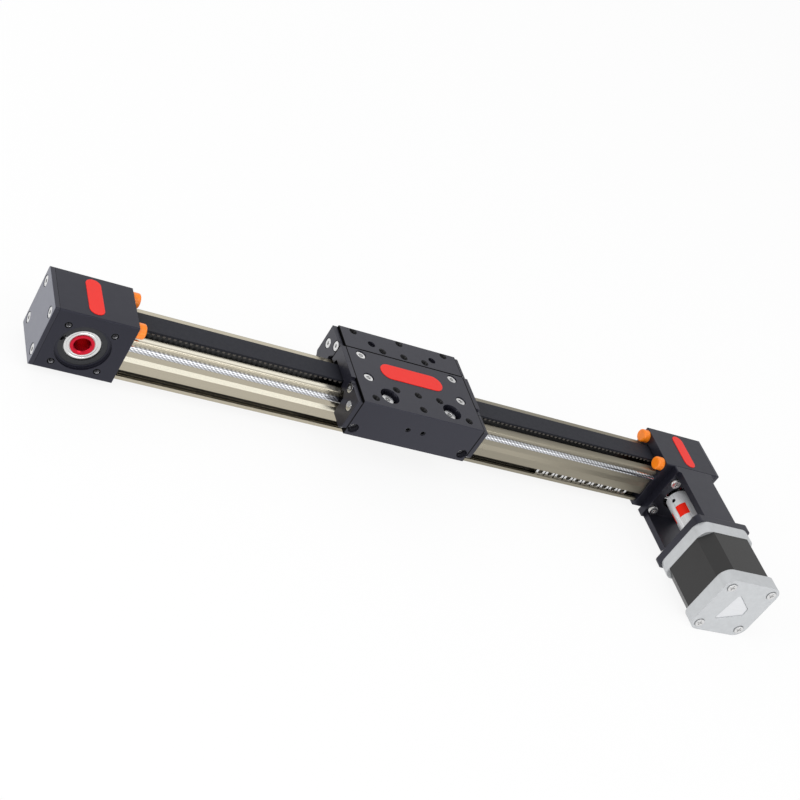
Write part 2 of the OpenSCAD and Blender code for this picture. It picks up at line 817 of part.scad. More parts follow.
// The shallow three-cornered recess in the rear cap, left bare: its corner centres, clockwise, and the
// turn at which each rounded corner starts and ends
recess_corners = [[-4.2, 8.6, 150, 40], [7.6, 0.4, 40, 0], [7.8, -3.2, 0, -58], [-6.4, -8.6, -58, -210]];
module rear_recess() {
  polygon([for (q = recess_corners) each [for (i = [0 : recess_steps]) let (a = q[2] + (q[3] - q[2]) * i / recess_steps)
    [q[0] + recess_round * cos(a), q[1] + recess_round * sin(a)]]]);
}

module motor_tie_screws() {
  l = motor_cap_l + motor_stack_l + motor_flange_l / 2 - tie_head_t;
  color(steel) at_motor_screws(-motor_back + tie_head_t) mirror([0, 0, 1]) {
    difference() {
      cylinder(h = tie_head_t + 0.6, r = tie_head_r);
      translate([0, 0, 2]) cube([3.6, 0.9, 3], center = true);
      translate([0, 0, 2]) cube([0.9, 3.6, 3], center = true);
    }
    translate([0, 0, -l]) cylinder(h = l, r = tie_r);
  }
}

module motor_mount_screws() {
  color(steel) at_motor_screws(-plate_y) cap_screw(m3, housing_plate_t + motor_flange_l / 2 - overrun);
}

module motor_socket() {
  half = motor_side / 2;
  color(rubber_black) translate([axis_x + half - socket_out + seat, -cap_y - motor_cap_l / 2 - socket_h / 2 + seat,
    axis_height - socket_len / 2 + seat]) difference() {
    cube([socket_out + 0.3, socket_h - 2 * seat, socket_len - 2 * seat]);
    translate([1, 0.8, 0.8]) cube([socket_out + overrun, socket_h - 1.6 - 2 * seat, socket_len - 1.6 - 2 * seat]);
  }
}

// ---- Carriage, drawn about its own middle ----

module on_carriage() translate([carriage_x, 0, 0]) children();

module at_clamp_screws() {
  for (x = [-clamp_screw_x, clamp_screw_x], y = [-clamp_screw_y, clamp_screw_y])
    translate([x, y, carriage_top - m3[2] - clamp_head_sink]) children();
}

// The four axles: side is -1 for the front pair and 1 for the back pair
module at_axles(side) for (x = [-roller_x, roller_x]) translate([x, side * roller_y, 0]) children();

module at_wiper_screws(side) {
  for (x = [-wiper_x, wiper_x]) translate([x, side * (half_wid - leg_head_sink - m3[2]), wiper_z])
    rotate([-90 * side, 0, 0]) children();
}

module at_leg_grubs() for (x = [-grub_x, grub_x]) to_front([x, -half_wid + 0.4, grub_z]) children();

module at_bar_screws() {
  for (x = [-bar_screw_x, bar_screw_x]) to_back([x, half_wid - bar_head_sink, bar_screw_z]) children();
}

// End cap screws, on the left or the right end
module at_cap_screws(end) {
  for (q = cap_screws, y = [-q[0], q[0]]) translate([end * (half_len + cap_head_seat), y, q[1]])
    rotate([0, 90 * end, 0]) children();
}

module tapped_row(pitch, y) {
  for (i = [-1, 0, 1]) translate([i * pitch, y, carriage_top - tapped_depth + 1.5])
    cylinder(h = tapped_depth, r = m4[0]);
}

// What both halves of the carriage have cut out of them on one side
module leg_cuts(side) {
  for (x = [-roller_x, roller_x])
    bar_z(x, side * roller_y, pocket_r, rod_height - pocket_half, rod_height + pocket_half);
  for (x = [-wiper_x, wiper_x]) translate([x, side * (wiper_in + wiper_back) / 2, rod_height])
    cube([wiper_len + 2 * seat, wiper_back - wiper_in + 2 * seat, 2 * wiper_half + 2 * seat], center = true);
  at_wiper_screws(side) screw_room(m3, wiper_screw_l, m3[2] + leg_head_sink);
  for (end = [-1, 1]) at_cap_screws(end) screw_room(m3_low, cap_screw_l, 0);
  tapped_row(outer_hole_pitch, row_shift + side * outer_row_width / 2);
  tapped_row(inner_hole_pitch, row_shift + side * inner_row_width / 2);
  at_bar_screws() screw_room(m3, bar_screw_l, bar_head_sink);
}

module carriage_plate() {
  e = plate_edge;
  color(satin_black) on_carriage() difference() {
    union() {
      along_x(-half_len, half_len) polygon([
        [-half_wid, carriage_bottom], [-leg_inner, carriage_bottom], [-leg_inner, plate_under],
        [seam_y, plate_under], [seam_y, carriage_top - e], [seam_y - e, carriage_top],
        [-half_wid + e, carriage_top], [-half_wid, carriage_top - e]
      ]);
      for (x = [-clamp_x, clamp_x]) translate([x - clamp_len / 2, -belt_width / 2, belt_top + seat])
        cube([clamp_len, belt_width, plate_under - belt_top]);
    }
    leg_cuts(-1);
    at_clamp_screws() screw_room(m3, clamp_screw_l, m3[2] + clamp_head_sink);
    at_axles(-1) {
      translate([0, 0, axle_tip - overrun]) cylinder(h = carriage_top, r = m4[0] + seat);
      translate([0, 0, axle_seat]) cylinder(h = carriage_top, r = bolt_well_r);
    }
    at_leg_grubs() {
      translate([0, 0, -grub_l - 0.5]) cylinder(h = grub_l + 2, r = m3[0] + seat);
    }
  }
}

module adjusting_bar() {
  e = plate_edge;
  y0 = seam_y + seam_gap;
  color(satin_black) on_carriage() difference() {
    along_x(-half_len, half_len) polygon([
      [y0, plate_under], [leg_inner, plate_under], [leg_inner, carriage_bottom], [half_wid, carriage_bottom],
      [half_wid, carriage_top - e], [half_wid - e, carriage_top], [y0 + e, carriage_top], [y0, carriage_top - e]
    ]);
    leg_cuts(1);
    at_axles(1) {
      translate([0, 0, axle_tip - overrun]) cylinder(h = pin_top - axle_tip + overrun, r = m4[0] + seat);
      translate([0, 0, pin_top - seat]) cylinder(h = carriage_top, r = pin_hole_r);
    }
  }
}

module bar_screws() color(steel) on_carriage() at_bar_screws() cap_screw(m3, bar_screw_l);

// Half of an end cap's outline: the outer edge, then the cutout for the rail and the belt
cap_half = [
  [0, carriage_top], [cap_middle_half, carriage_top], [cap_middle_half, cap_top], [half_wid, cap_top],
  [half_wid, cap_bottom + cap_corner], [half_wid - cap_corner, cap_bottom], [cap_inner, cap_bottom],
  [cap_inner, rail_height - 0.9], [notch_y + 1.4, rail_height + 0.9], [notch_y, rail_height + 2.3],
  [notch_y - 1.1, rail_height + 0.8], [cap_belt_half + 1, rail_height + 0.8],
  [cap_belt_half, belt_top + 1.4], [0, belt_top + 1.4]
];

module end_cap(end) {
  color(satin_black) on_carriage() difference() {
    translate([end > 0 ? 0 : -2 * half_len - cap_thickness, 0, 0]) along_x(half_len, half_len + cap_thickness)
      for (m = [0, 1]) mirror([m, 0]) polygon(cap_half);
    at_cap_screws(end) screw_room(m3_low, cap_screw_l, cap_thickness);
  }
}
module left_end_cap() end_cap(-1);
module right_end_cap() end_cap(1);
module end_cap_screws() {
  color(steel) on_carriage() for (end = [-1, 1]) at_cap_screws(end) cap_screw(m3_low, cap_screw_l);
}

module belt_clamps() {
  color(cast_grey) difference() {
    on_carriage() difference() {
      for (x = [-clamp_x, clamp_x]) along_x(x - clamp_len / 2, x + clamp_len / 2) {
        translate([-clamp_foot_half, clamp_foot])
          square([2 * clamp_foot_half, axis_height + belt_root_r - seat - clamp_foot]);
        for (m = [0, 1]) mirror([m, 0]) translate([clamp_belt_half, clamp_shoulder])
          square([clamp_half - clamp_belt_half, plate_under - clamp_shoulder]);
      }
      at_clamp_screws() screw_room(m3, clamp_screw_l, 0);
    }
    translate([0, 0, axis_height]) along_y(-clamp_belt_half, clamp_belt_half) intersection() {
      difference() {
        square([belt_span, 4 * belt_back_r], center = true);
        belt_inside(tooth_clear);
      }
      translate([-rail_end, belt_mid_r - 2 * tooth_height]) square([rail_length, 4 * tooth_height]);
    }
  }
}

module clamp_screws() color(steel) on_carriage() at_clamp_screws() cap_screw(m3, clamp_screw_l);

module rod_wipers() {
  color(felt_grey) difference() {
    on_carriage() for (x = [-wiper_x, wiper_x], side = [-1, 1])
      translate([x, side * (wiper_in + wiper_back) / 2, rod_height])
        cube([wiper_len, wiper_back - wiper_in, 2 * wiper_half], center = true);
    for (side = [-1, 1]) bar_x(side * rod_y, rod_height, rod_r + seat, -rail_end, rail_end);
  }
}

module wiper_screws() {
  color(steel) on_carriage() for (side = [-1, 1]) at_wiper_screws(side) cap_screw(m3, wiper_screw_l);
}

module leg_grub_screws() color(steel) on_carriage() at_leg_grubs() grub_screw(m3, grub_l);

module front_roller_bolts() {
  color(steel) on_carriage() at_axles(-1) translate([0, 0, axle_seat]) cap_screw(m4, axle_seat - axle_tip);
}

module back_roller_pins() {
  color(steel) on_carriage() at_axles(1) translate([0, 0, pin_top - seat]) grub_screw(m4, pin_top - seat - axle_tip);
}

module roller_spacers() {
  color(steel) on_carriage() for (side = [-1, 1], up = [0, 1]) at_axles(side)
    translate([0, 0, rod_height]) mirror([0, 0, up]) translate([0, 0, pocket_half - spacer_l]) difference() {
      cylinder(h = spacer_l, r = spacer_r);
      translate([0, 0, -overrun]) cylinder(h = spacer_l + 2 * overrun, r = m4[0] + seat);
    }
}

module roller(x, side) {
  color(steel) on_carriage() translate([x, side * roller_y, rod_height]) rotate_extrude($fn = 96) difference() {
    translate([m4[0] + running, -roller_w / 2]) square([roller_r - m4[0] - running, roller_w]);
    translate([roller_y - rod_y, 0]) circle(rod_r + rod_gap);
  }
}
module front_left_roller() roller(-roller_x, -1);
module front_right_roller() roller(roller_x, -1);
module back_left_roller() roller(-roller_x, 1);
module back_right_roller() roller(roller_x, 1);

module carriage_name_plate() {
  color(signal_red) on_carriage() translate([0, 0, carriage_top]) pill(name_len, name_wid, plate_t);
}

rail_profile();
front_guide_rod();
back_guide_rod();
toothed_belt();
slot_nuts();
idler_block();
idler_end_cover();
idler_cover_screws();
idler_rail_screws();
idler_bumpers();
idler_bearings();
idler_circlips();
idler_pulley();
idler_hollow_shaft();
idler_name_plate();
drive_block();
drive_end_cover();
drive_cover_screws();
drive_rail_screws();
drive_bumpers();
drive_bearings();
drive_circlips();
drive_pulley();
drive_hollow_shaft();
drive_shaft();
drive_name_plate();
coupling_housing();
housing_screws();
coupling_drive_hub();
coupling_spider();
coupling_motor_hub();
coupling_set_screws();
motor_shaft();
motor_front_flange();
motor_stack();
motor_rear_cap();
motor_tie_screws();
motor_mount_screws();
motor_socket();
carriage_plate();
adjusting_bar();
bar_screws();
left_end_cap();
right_end_cap();
end_cap_screws();
belt_clamps();
clamp_screws();
rod_wipers();
wiper_screws();
leg_grub_screws();
front_roller_bolts();
back_roller_pins();
roller_spacers();
front_left_roller();
front_right_roller();
back_left_roller();
back_right_roller();
carriage_name_plate();
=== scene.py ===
"""Belt driven linear axis: finishes, small turned and pressed parts, and a plain studio.

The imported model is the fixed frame. Everything is in metres, +X along the rail, +Z up.
"""

import json
import math

import bpy
import numpy as np
from bpy.props import FloatProperty, FloatVectorProperty, IntProperty, PointerProperty
from mathutils import Matrix, Vector


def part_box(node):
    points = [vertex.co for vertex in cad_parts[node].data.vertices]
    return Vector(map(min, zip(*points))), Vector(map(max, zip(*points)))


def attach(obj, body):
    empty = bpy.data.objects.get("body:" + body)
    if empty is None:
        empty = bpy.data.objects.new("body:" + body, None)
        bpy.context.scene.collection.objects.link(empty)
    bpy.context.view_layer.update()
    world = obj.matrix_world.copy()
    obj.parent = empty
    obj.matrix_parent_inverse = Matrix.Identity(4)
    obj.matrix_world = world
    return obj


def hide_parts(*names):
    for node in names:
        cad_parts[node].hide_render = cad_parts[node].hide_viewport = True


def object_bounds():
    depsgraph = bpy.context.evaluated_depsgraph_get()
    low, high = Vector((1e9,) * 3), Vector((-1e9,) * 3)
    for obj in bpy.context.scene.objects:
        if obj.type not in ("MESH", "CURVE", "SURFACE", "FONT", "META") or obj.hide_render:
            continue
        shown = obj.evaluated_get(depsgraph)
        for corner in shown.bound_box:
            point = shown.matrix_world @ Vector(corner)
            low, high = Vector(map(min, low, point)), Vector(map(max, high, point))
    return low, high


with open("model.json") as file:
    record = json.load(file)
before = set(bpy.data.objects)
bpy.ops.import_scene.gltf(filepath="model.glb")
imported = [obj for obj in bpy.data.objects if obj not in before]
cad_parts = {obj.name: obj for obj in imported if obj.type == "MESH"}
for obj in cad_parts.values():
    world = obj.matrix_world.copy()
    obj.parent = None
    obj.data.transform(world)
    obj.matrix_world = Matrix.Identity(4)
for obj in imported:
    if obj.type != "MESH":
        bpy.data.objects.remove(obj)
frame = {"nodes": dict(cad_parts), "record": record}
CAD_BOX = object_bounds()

bl_info = {
    "name": "Belt driven linear axis",
    "version": (1, 0, 0),
    "blender": (4, 5, 0),
    "location": "3D View > Sidebar > Linear axis",
    "description": "Dresses the packed linear axis with finishes, turned details and a studio",
    "category": "Object",
}

MM = 0.001
X_AXIS, Y_AXIS, Z_AXIS = np.eye(3)
NODES = frame["nodes"]
RECORD = frame["record"]
MOUNTS = {m["name"]: m for m in RECORD["mounts"]}
BOLT_PATTERNS = [name for name, mount in MOUNTS.items() if mount["kind"] == "bolt_pattern"]


# --------------------------------------------------
# Where things are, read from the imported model
# --------------------------------------------------


def node_box(name):
    """Lowest corner, highest corner and middle of a node, as numpy arrays."""
    low, high = (np.array(corner, dtype=float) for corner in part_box(name))
    return low, high, (low + high) / 2


def joint_place(name):
    """A point on the axis of a hinge, as a numpy array."""
    for joint in RECORD["behaviour"]["joints"]:
        if joint["name"] == name:
            return np.array(joint["pos_m"], dtype=float)
    raise RuntimeError(f"no joint named {name}")


def pattern_points(mount):
    """The hole centres of a rectangle or line of holes, from its stated spacings."""
    centre = np.array(mount["pos_m"], dtype=float)
    axis = int(np.argmax(np.abs(mount["axis"])))
    first, second = [i for i in range(3) if i != axis]
    dims = mount["dims"]
    us = [-0.5, 0.5] if "spacing_x_mm" in dims else [0]
    vs = [-0.5, 0.5] if "spacing_y_mm" in dims else [0]
    points = []
    for u in us:
        for v in vs:
            p = centre.copy()
            p[first] += u * dims.get("spacing_x_mm", 0) * MM
            p[second] += v * dims.get("spacing_y_mm", 0) * MM
            points.append(p)
    return points


# --------------------------------------------------
# Surfaces on a grid of two parameters
# --------------------------------------------------


def grid_faces(rows, cols, wrap_rows, wrap_cols):
    """Quads between neighbouring grid points. A wrapped direction joins its last line to its first."""
    i = np.arange(rows if wrap_rows else rows - 1)
    j = np.arange(cols if wrap_cols else cols - 1)
    i, j = np.meshgrid(i, j, indexing="ij")
    i2, j2 = (i + 1) % rows, (j + 1) % cols
    return np.stack([i * cols + j, i2 * cols + j, i2 * cols + j2, i * cols + j2], axis=-1).reshape(-1, 4)


def fan_faces(pole, ring):
    """Triangles from one point to every edge of a closed ring of points."""
    return np.column_stack([np.full(len(ring), pole), ring, np.roll(ring, -1)])


NO_FANS = np.zeros((0, 3), dtype=int)


def facing_out(points, quads, fans=NO_FANS):
    """The points with their faces, all turned over if the volume they enclose comes out negative."""
    tri = np.concatenate([quads[:, [0, 1, 2]], quads[:, [0, 2, 3]], fans])
    middle = points.mean(axis=0)
    a, b, c = (points[tri[:, corner]] - middle for corner in range(3))
    if np.einsum("ij,ij->i", a, np.cross(b, c)).sum() < 0:
        return points, quads[:, ::-1], fans[:, ::-1]
    return points, quads, fans


def mesh_object(name, points, quads, fans=NO_FANS, smooth=True):
    """An object from whole arrays of points, quads and triangles, at the origin."""
    mesh = bpy.data.meshes.new(name)
    mesh.vertices.add(len(points))
    mesh.vertices.foreach_set("co", np.asarray(points, dtype=np.float32).ravel())
    corners = np.concatenate([quads.ravel(), fans.ravel()]).astype(np.int32)
    starts = np.concatenate([np.arange(len(quads)) * 4, quads.size + np.arange(len(fans)) * 3])
    mesh.loops.add(len(corners))
    mesh.loops.foreach_set("vertex_index", corners)
    mesh.polygons.add(len(starts))
    mesh.polygons.foreach_set("loop_start", starts.astype(np.int32))
    mesh.update(calc_edges=True)
    mesh.validate()
    mesh.polygons.foreach_set("use_smooth", np.full(len(mesh.polygons), smooth))
    obj = bpy.data.objects.new(name, mesh)
    bpy.context.scene.collection.objects.link(obj)
    return obj


def join_grids(parts):
    """Several (points, quads, fans) put one behind the other."""
    starts = np.cumsum([0] + [len(p[0]) for p in parts[:-1]])
    return (np.concatenate([p[0] for p in parts]),
            np.concatenate([p[1] + start for p, start in zip(parts, starts)]),
            np.concatenate([p[2] + start for p, start in zip(parts, starts)]))


def axes_for(direction):
    """Three perpendicular unit vectors, the last of them along direction."""
    w = np.array(direction, dtype=float)
    w /= np.linalg.norm(w)
    helper = np.array([0.0, 0.0, 1.0]) if abs(w[2]) < 0.9 else np.array([1.0, 0.0, 0.0])
    u = np.cross(helper, w)
    u /= np.linalg.norm(u)
    return u, np.cross(w, u), w


def turned_ring(profile, centre, direction, steps=96, wave=None):
    """A closed ring turned about an axis.

    A point of the profile (radius r, height h) at angle t goes to
    centre + r cos t * u + r sin t * v + h * w, and wave(t, r, h) may add to the radius.
    """
    profile = np.asarray(profile, dtype=float) * MM
    t = np.linspace(0, 2 * np.pi, steps, endpoint=False)
    r, h = np.broadcast_arrays(profile[None, :, 0], profile[None, :, 1])
    r, h = np.repeat(r, steps, axis=0), np.repeat(h, steps, axis=0)
    angle = np.repeat(t[:, None], profile.shape[0], axis=1)
    if wave is not None:
        r = r + wave(angle, r, h)
    u, v, w = axes_for(direction)
    spoke = np.cos(angle)[..., None] * u + np.sin(angle)[..., None] * v
    points = np.asarray(centre, dtype=float) + r[..., None] * spoke + h[..., None] * w
    return facing_out(points.reshape(-1, 3), grid_faces(steps, profile.shape[0], True, True))


# A thread's root stands inwards by this share of its crest. Its sleeve is thin, in mm.
ROOT_SHARE = 0.12
SLEEVE_GAP = 0.008
ROWS_PER_TURN = 6


def thread_sleeve(centre, direction, radius, depth, pitch, crest, steps=28):
    """The thread inside a tapped hole: a sleeve whose inner wall is a screw surface.

    The inner radius at angle t and depth h is radius - crest * (b + (1 - b) * s * f). b is ROOT_SHARE,
    s = |2 frac(h / pitch - t / 2 pi) - 1|, and f rises from 0 to 1 over the first half turn. The outer
    wall is a plain cylinder just inside the hole.
    """
    turns = int(depth / pitch)
    h = np.linspace(0, turns * pitch, turns * ROWS_PER_TURN + 1)
    inner = np.stack([np.full_like(h, radius), -h], axis=1)
    outer = np.array([[radius, -turns * pitch], [radius, 0.0]])
    profile = np.concatenate([inner, outer])
    count = len(h)

    def wave(angle, r, height):
        """How far the wall stands inwards: the screw surface inside, a small even gap outside."""
        saw = np.abs(2 * np.mod(-height / (pitch * MM) - angle / (2 * np.pi), 1.0) - 1)
        fade = np.clip(-height / (0.5 * pitch * MM), 0, 1)
        cut = -crest * MM * (ROOT_SHARE + (1 - ROOT_SHARE) * saw * fade)
        cut[:, count:] = -SLEEVE_GAP * MM
        return cut

    return turned_ring(profile, centre, direction, steps, wave)


# Rings on a plate's flat faces, as shares of the way from its middle to its rim.
BOTTOM_RINGS = (0.3, 0.7, 0.98)
TOP_RINGS = (0.985, 0.7, 0.3)
RIM_RINGS = 6


def outline_plate(outline, height, edge, centre, u, v, w):
    """A thin plate over an outline, with a rounded rim.

    outline is an (n, 2) array round the plate, in mm. Ring k of the grid is the outline moved inwards
    by d(k) at level z(k). Up the rim, d = edge (1 - cos b) and z = height - edge + edge sin b for b from
    0 to 90 degrees. The top and the bottom then shrink to a pole at the middle point.
    """
    outline = np.asarray(outline, dtype=float)
    middle = outline.mean(axis=0)
    tangent = np.roll(outline, -1, axis=0) - np.roll(outline, 1, axis=0)
    normal = np.stack([tangent[:, 1], -tangent[:, 0]], axis=1)
    normal /= np.linalg.norm(normal, axis=1)[:, None]
    if ((outline - middle) * normal).sum() < 0:
        normal = -normal
    count = len(outline)
    bend = np.linspace(0, np.pi / 2, RIM_RINGS)
    rings = [np.column_stack([middle + (outline - middle) * share, np.zeros(count)])
             for share in BOTTOM_RINGS]
    rings.append(np.column_stack([outline, np.zeros(count)]))
    for b in bend:
        inside = outline - edge * (1 - np.cos(b)) * normal
        rings.append(np.column_stack([inside, np.full(count, height - edge + edge * np.sin(b))]))
    top = outline - edge * normal
    for share in TOP_RINGS:
        rings.append(np.column_stack([middle + (top - middle) * share, np.full(count, height)]))
    flat = np.concatenate(rings + [[[*middle, 0.0], [*middle, height]]]) * MM
    points = np.asarray(centre) + flat[:, 0:1] * u + flat[:, 1:2] * v + flat[:, 2:3] * w
    ring = np.arange(count)
    last = (len(rings) - 1) * count
    fans = np.concatenate([fan_faces(len(flat) - 2, ring[::-1]), fan_faces(len(flat) - 1, last + ring)])
    return facing_out(points, grid_faces(len(rings), count, False, True)[:, ::-1], fans)


# --------------------------------------------------
# Finishes
# --------------------------------------------------


# Scale at which the wave texture's bands lie one unit apart.
BAND_SCALE = 0.314159
SHADOW_BLACK = (0.002, 0.002, 0.002)
BEVEL_SAMPLES = 6


def add_node(tree, kind, inputs, **settings):
    """A new shader node with its settings. Its inputs are linked to outputs or set to plain values."""
    node = tree.nodes.new("ShaderNode" + kind)
    for name, value in settings.items():
        setattr(node, name, value)
    for socket, value in inputs.items():
        if isinstance(value, bpy.types.NodeSocket):
            tree.links.new(value, node.inputs[socket])
        else:
            node.inputs[socket].default_value = value
    return node


class Finish:
    """A node material with one Principled shader, and short calls that add its patterns."""

    def __init__(self, name, color, **values):
        self.material = bpy.data.materials.new(name)
        self.material.use_nodes = True
        self.material.diffuse_color = (*color, 1.0)
        self.tree = self.material.node_tree
        self.color = color
        self.inputs = self.tree.nodes["Principled BSDF"].inputs
        self.inputs["Base Color"].default_value = (*color, 1.0)
        for socket, value in values.items():
            self.inputs[socket.replace("_", " ")].default_value = value
        self.place = self.tree.nodes.new("ShaderNodeTexCoord").outputs["Object"]

    def add(self, kind, inputs, output, **settings):
        """One output of a new node."""
        return add_node(self.tree, kind, inputs, **settings).outputs[output]

    def feed(self, output, socket):
        """Joins an output to an input of the shader."""
        self.tree.links.new(output, self.inputs[socket])

    def coordinate(self, axis):
        """One object coordinate, in metres."""
        return self.add("SeparateXYZ", {"Vector": self.place}, axis)

    def mapped(self, scale, turn=(0, 0, 0)):
        """Object coordinates, turned and stretched."""
        return self.add("Mapping", {"Rotation": turn, "Scale": scale, "Vector": self.place}, "Vector")

    def noise(self, size, detail=3.0, stretch=(1, 1, 1), rough=0.5):
        """Cloudy pattern whose grains are about size metres wide."""
        place = self.mapped([s / size for s in stretch])
        inputs = {"Scale": 1.0, "Detail": detail, "Roughness": rough, "Vector": place}
        return self.add("TexNoise", inputs, "Fac")

    def lines(self, pitch, axis, turn=(0, 0, 0), wobble=0.0):
        """Parallel ridges, pitch metres apart."""
        place = self.mapped([BAND_SCALE / pitch] * 3, turn)
        return self.add("TexWave", {"Scale": 1.0, "Distortion": wobble, "Vector": place}, "Fac",
                        wave_type="BANDS", bands_direction=axis, wave_profile="SIN")

    def between(self, value, low, high):
        """value from 0..1 spread over low..high."""
        return self.add("MapRange", {"Value": value, "To Min": low, "To Max": high}, "Result")

    def fading(self, axis, start, end, low):
        """1 up to start along an object coordinate, falling to low at end."""
        inputs = {"Value": self.coordinate(axis), "From Min": start, "From Max": end, "To Min": 1.0,
                  "To Max": low}
        return self.add("MapRange", inputs, "Result")

    def combined(self, operation, first, second):
        """Two patterns or values put together by an operation of the Math node."""
        return self.add("Math", {0: first, 1: second}, "Value", operation=operation)

    def both(self, first, second):
        """1 where both masks are 1."""
        return self.combined("MULTIPLY", first, second)

    def either(self, first, second):
        """1 where at least one mask is 1."""
        return self.combined("MAXIMUM", first, second)

    def within(self, axis, low, high):
        """1 where an object coordinate lies between low and high, 0 elsewhere."""
        inputs = {0: self.coordinate(axis), 1: (low + high) / 2, 2: (high - low) / 2}
        return self.add("Math", inputs, "Value", operation="COMPARE")

    def line_at(self, axis, place, half):
        """1 within half a width of a place along an axis, 0 elsewhere."""
        return self.within(axis, place - half, place + half)

    def near_line(self, centre, direction, radius):
        """1 within a radius of the line through a centre along a main axis, 0 elsewhere."""
        across = [1.0 - abs(d) for d in direction]
        back = [-c * a for c, a in zip(centre, across)]
        offset = self.add("Mapping", {"Scale": across, "Location": back, "Vector": self.place}, "Vector")
        distance = self.add("VectorMath", {0: offset}, "Value", operation="LENGTH")
        return self.combined("LESS_THAN", distance, radius)

    def mixed(self, factor, first, second):
        """Base colour that runs from a first colour or output to a second colour with the factor."""
        inputs = {"Factor": factor, "A": first, "B": (*second, 1.0)}
        self.feed(self.add("Mix", inputs, "Result", data_type="RGBA"), "Base Color")

    def base(self):
        """The output that feeds the base colour so far."""
        return self.inputs["Base Color"].links[0].from_socket

    def tinted(self, value, low, high):
        """Base colour that follows value from a darker to a lighter shade of the finish's colour."""
        self.mixed(value, (*shade(self.color, low), 1.0), shade(self.color, high))

    def clouded(self, size, detail, low, high, **pattern):
        """Clouds in the base colour."""
        self.tinted(self.noise(size, detail, **pattern), low, high)

    def worn(self, size, detail, low, high, **pattern):
        """Clouds of roughness between low and high."""
        self.feed(self.between(self.noise(size, detail, **pattern), low, high), "Roughness")

    def overlaid(self, mask, color):
        """Another base colour inside the mask."""
        self.mixed(mask, self.base(), color)

    def dimmed(self, level):
        """The base colour times a level from 0 to 1."""
        inputs = {0: self.base(), "Scale": level}
        self.feed(self.add("VectorMath", inputs, "Vector", operation="SCALE"), "Base Color")

    def shadow(self, mask):
        """Painted shadow: dull black inside the mask."""
        self.overlaid(mask, SHADOW_BLACK)
        level = self.inputs["Specular IOR Level"].default_value
        self.feed(self.between(mask, level, 0.0), "Specular IOR Level")

    def relief(self, *layers, edge=0.0):
        """Bumps from (pattern, height in metres) pairs, over edges softened by the given radius."""
        normal = self.add("Bevel", {"Radius": edge}, "Normal", samples=BEVEL_SAMPLES) if edge else None
        for pattern, height in layers:
            inputs = {"Strength": 1.0, "Distance": height, "Height": pattern}
            if normal is not None:
                inputs["Normal"] = normal
            normal = self.add("Bump", inputs, "Normal")
        self.feed(normal, "Normal")


def shade(color, factor):
    """A colour made lighter or darker."""
    return tuple(min(1.0, c * factor) for c in color)


def blasted_black(name, color, coat=0.15, specular=0.45):
    """Fine blasted, dyed aluminium: an even dark skin with a faint cloud in colour and gloss."""
    f = Finish(name, color, Coat_Weight=coat, Coat_Roughness=0.3, Roughness=0.4,
               Specular_IOR_Level=specular, Specular_Tint=(0.78, 0.79, 1.0, 1.0))
    f.clouded(0.02, 4, 0.93, 1.07)
    f.worn(0.004, 5, 0.34, 0.44)
    f.relief((f.noise(0.00025, 2), 0.000004), edge=0.00035)
    return f


def black_anodised(color):
    """The coupling housing's skin."""
    return blasted_black("black_anodised", color).material


# Half widths of the painted shade lines in the gaps between black pieces, in metres. The first is also the
# half width of the covers' painted highlight.
PAINTED_BAND_HALF = 0.00014
SEAM_SHADOW = 0.0005
CAP_SHADOW = 0.00035
# Widths of the painted shade rings that stand for countersinks round the holes in the blocks' faces and in
# the carriage's top.
FACE_HOLE_SHADE_RING = 0.0006
TOP_HOLE_SHADE_RING = 0.0003
# The bearings are bright up to this radius, and their seals are black.
SEAL_RADIUS = 0.0095
SEAL_BLACK = (0.01, 0.01, 0.012)


def with_hole_shade_rings(f, shade_mask, mounts, width):
    """The painted shade mask, with a ring of that width round every hole of the mounts."""
    for name in mounts:
        mount = MOUNTS[name]
        for point in pattern_points(mount):
            ring = f.near_line(point, mount["axis"], mount["dims"]["hole_r_mm"] * MM + width)
            shade_mask = f.either(shade_mask, ring)
    return shade_mask


def block_black(color):
    """The same skin, with a painted shade line where an end cover meets its block and painted shade rings
    round the face holes.
    """
    f = blasted_black("block_black", color, coat=0.05, specular=0.4)
    joint = node_box("drive_end_cover")[0][0]
    shade_mask = f.either(*(f.line_at("X", x, PAINTED_BAND_HALF) for x in (joint, -joint)))
    faces = ("idler_front_face_holes", "drive_back_face_holes")
    # Painted shade at the joints and round the face holes.
    f.shadow(with_hole_shade_rings(f, shade_mask, faces, FACE_HOLE_SHADE_RING))
    return f.material


def cover_black(color):
    """The covers' skin: the blocks' own, with a smoother outer face painted paler as a painted highlight.
    """
    f = blasted_black("cover_black", tuple(bpy.context.scene.axis_colors.block_black))
    end = node_box("drive_end_cover")[1][0]
    outer = f.either(*(f.line_at("X", x, PAINTED_BAND_HALF) for x in (end, -end)))
    # Painted highlight: the outer face takes the paler colour.
    f.overlaid(outer, color)
    f.feed(f.between(outer, 0.5, 1.0), "Specular IOR Level")
    f.feed(f.between(outer, 1.5, 1.8), "IOR")
    return f.material


def carriage_black(color):
    """The carriage's skin, with painted shade lines at its bar and end caps and painted shade rings round
    the holes of its top.
    """
    f = blasted_black("carriage_black", color)
    low, high, _ = node_box("carriage_plate")
    seam = (high[1] + node_box("adjusting_bar")[0][1]) / 2
    shade_mask = f.line_at("Y", seam, SEAM_SHADOW)
    for x in (low[0], high[0]):
        shade_mask = f.either(shade_mask, f.line_at("X", x, CAP_SHADOW))
    tops = [name for name in BOLT_PATTERNS if name.startswith("carriage")]
    # Painted shade at the seams and round the top holes.
    f.shadow(with_hole_shade_rings(f, shade_mask, tops, TOP_HOLE_SHADE_RING))
    return f.material


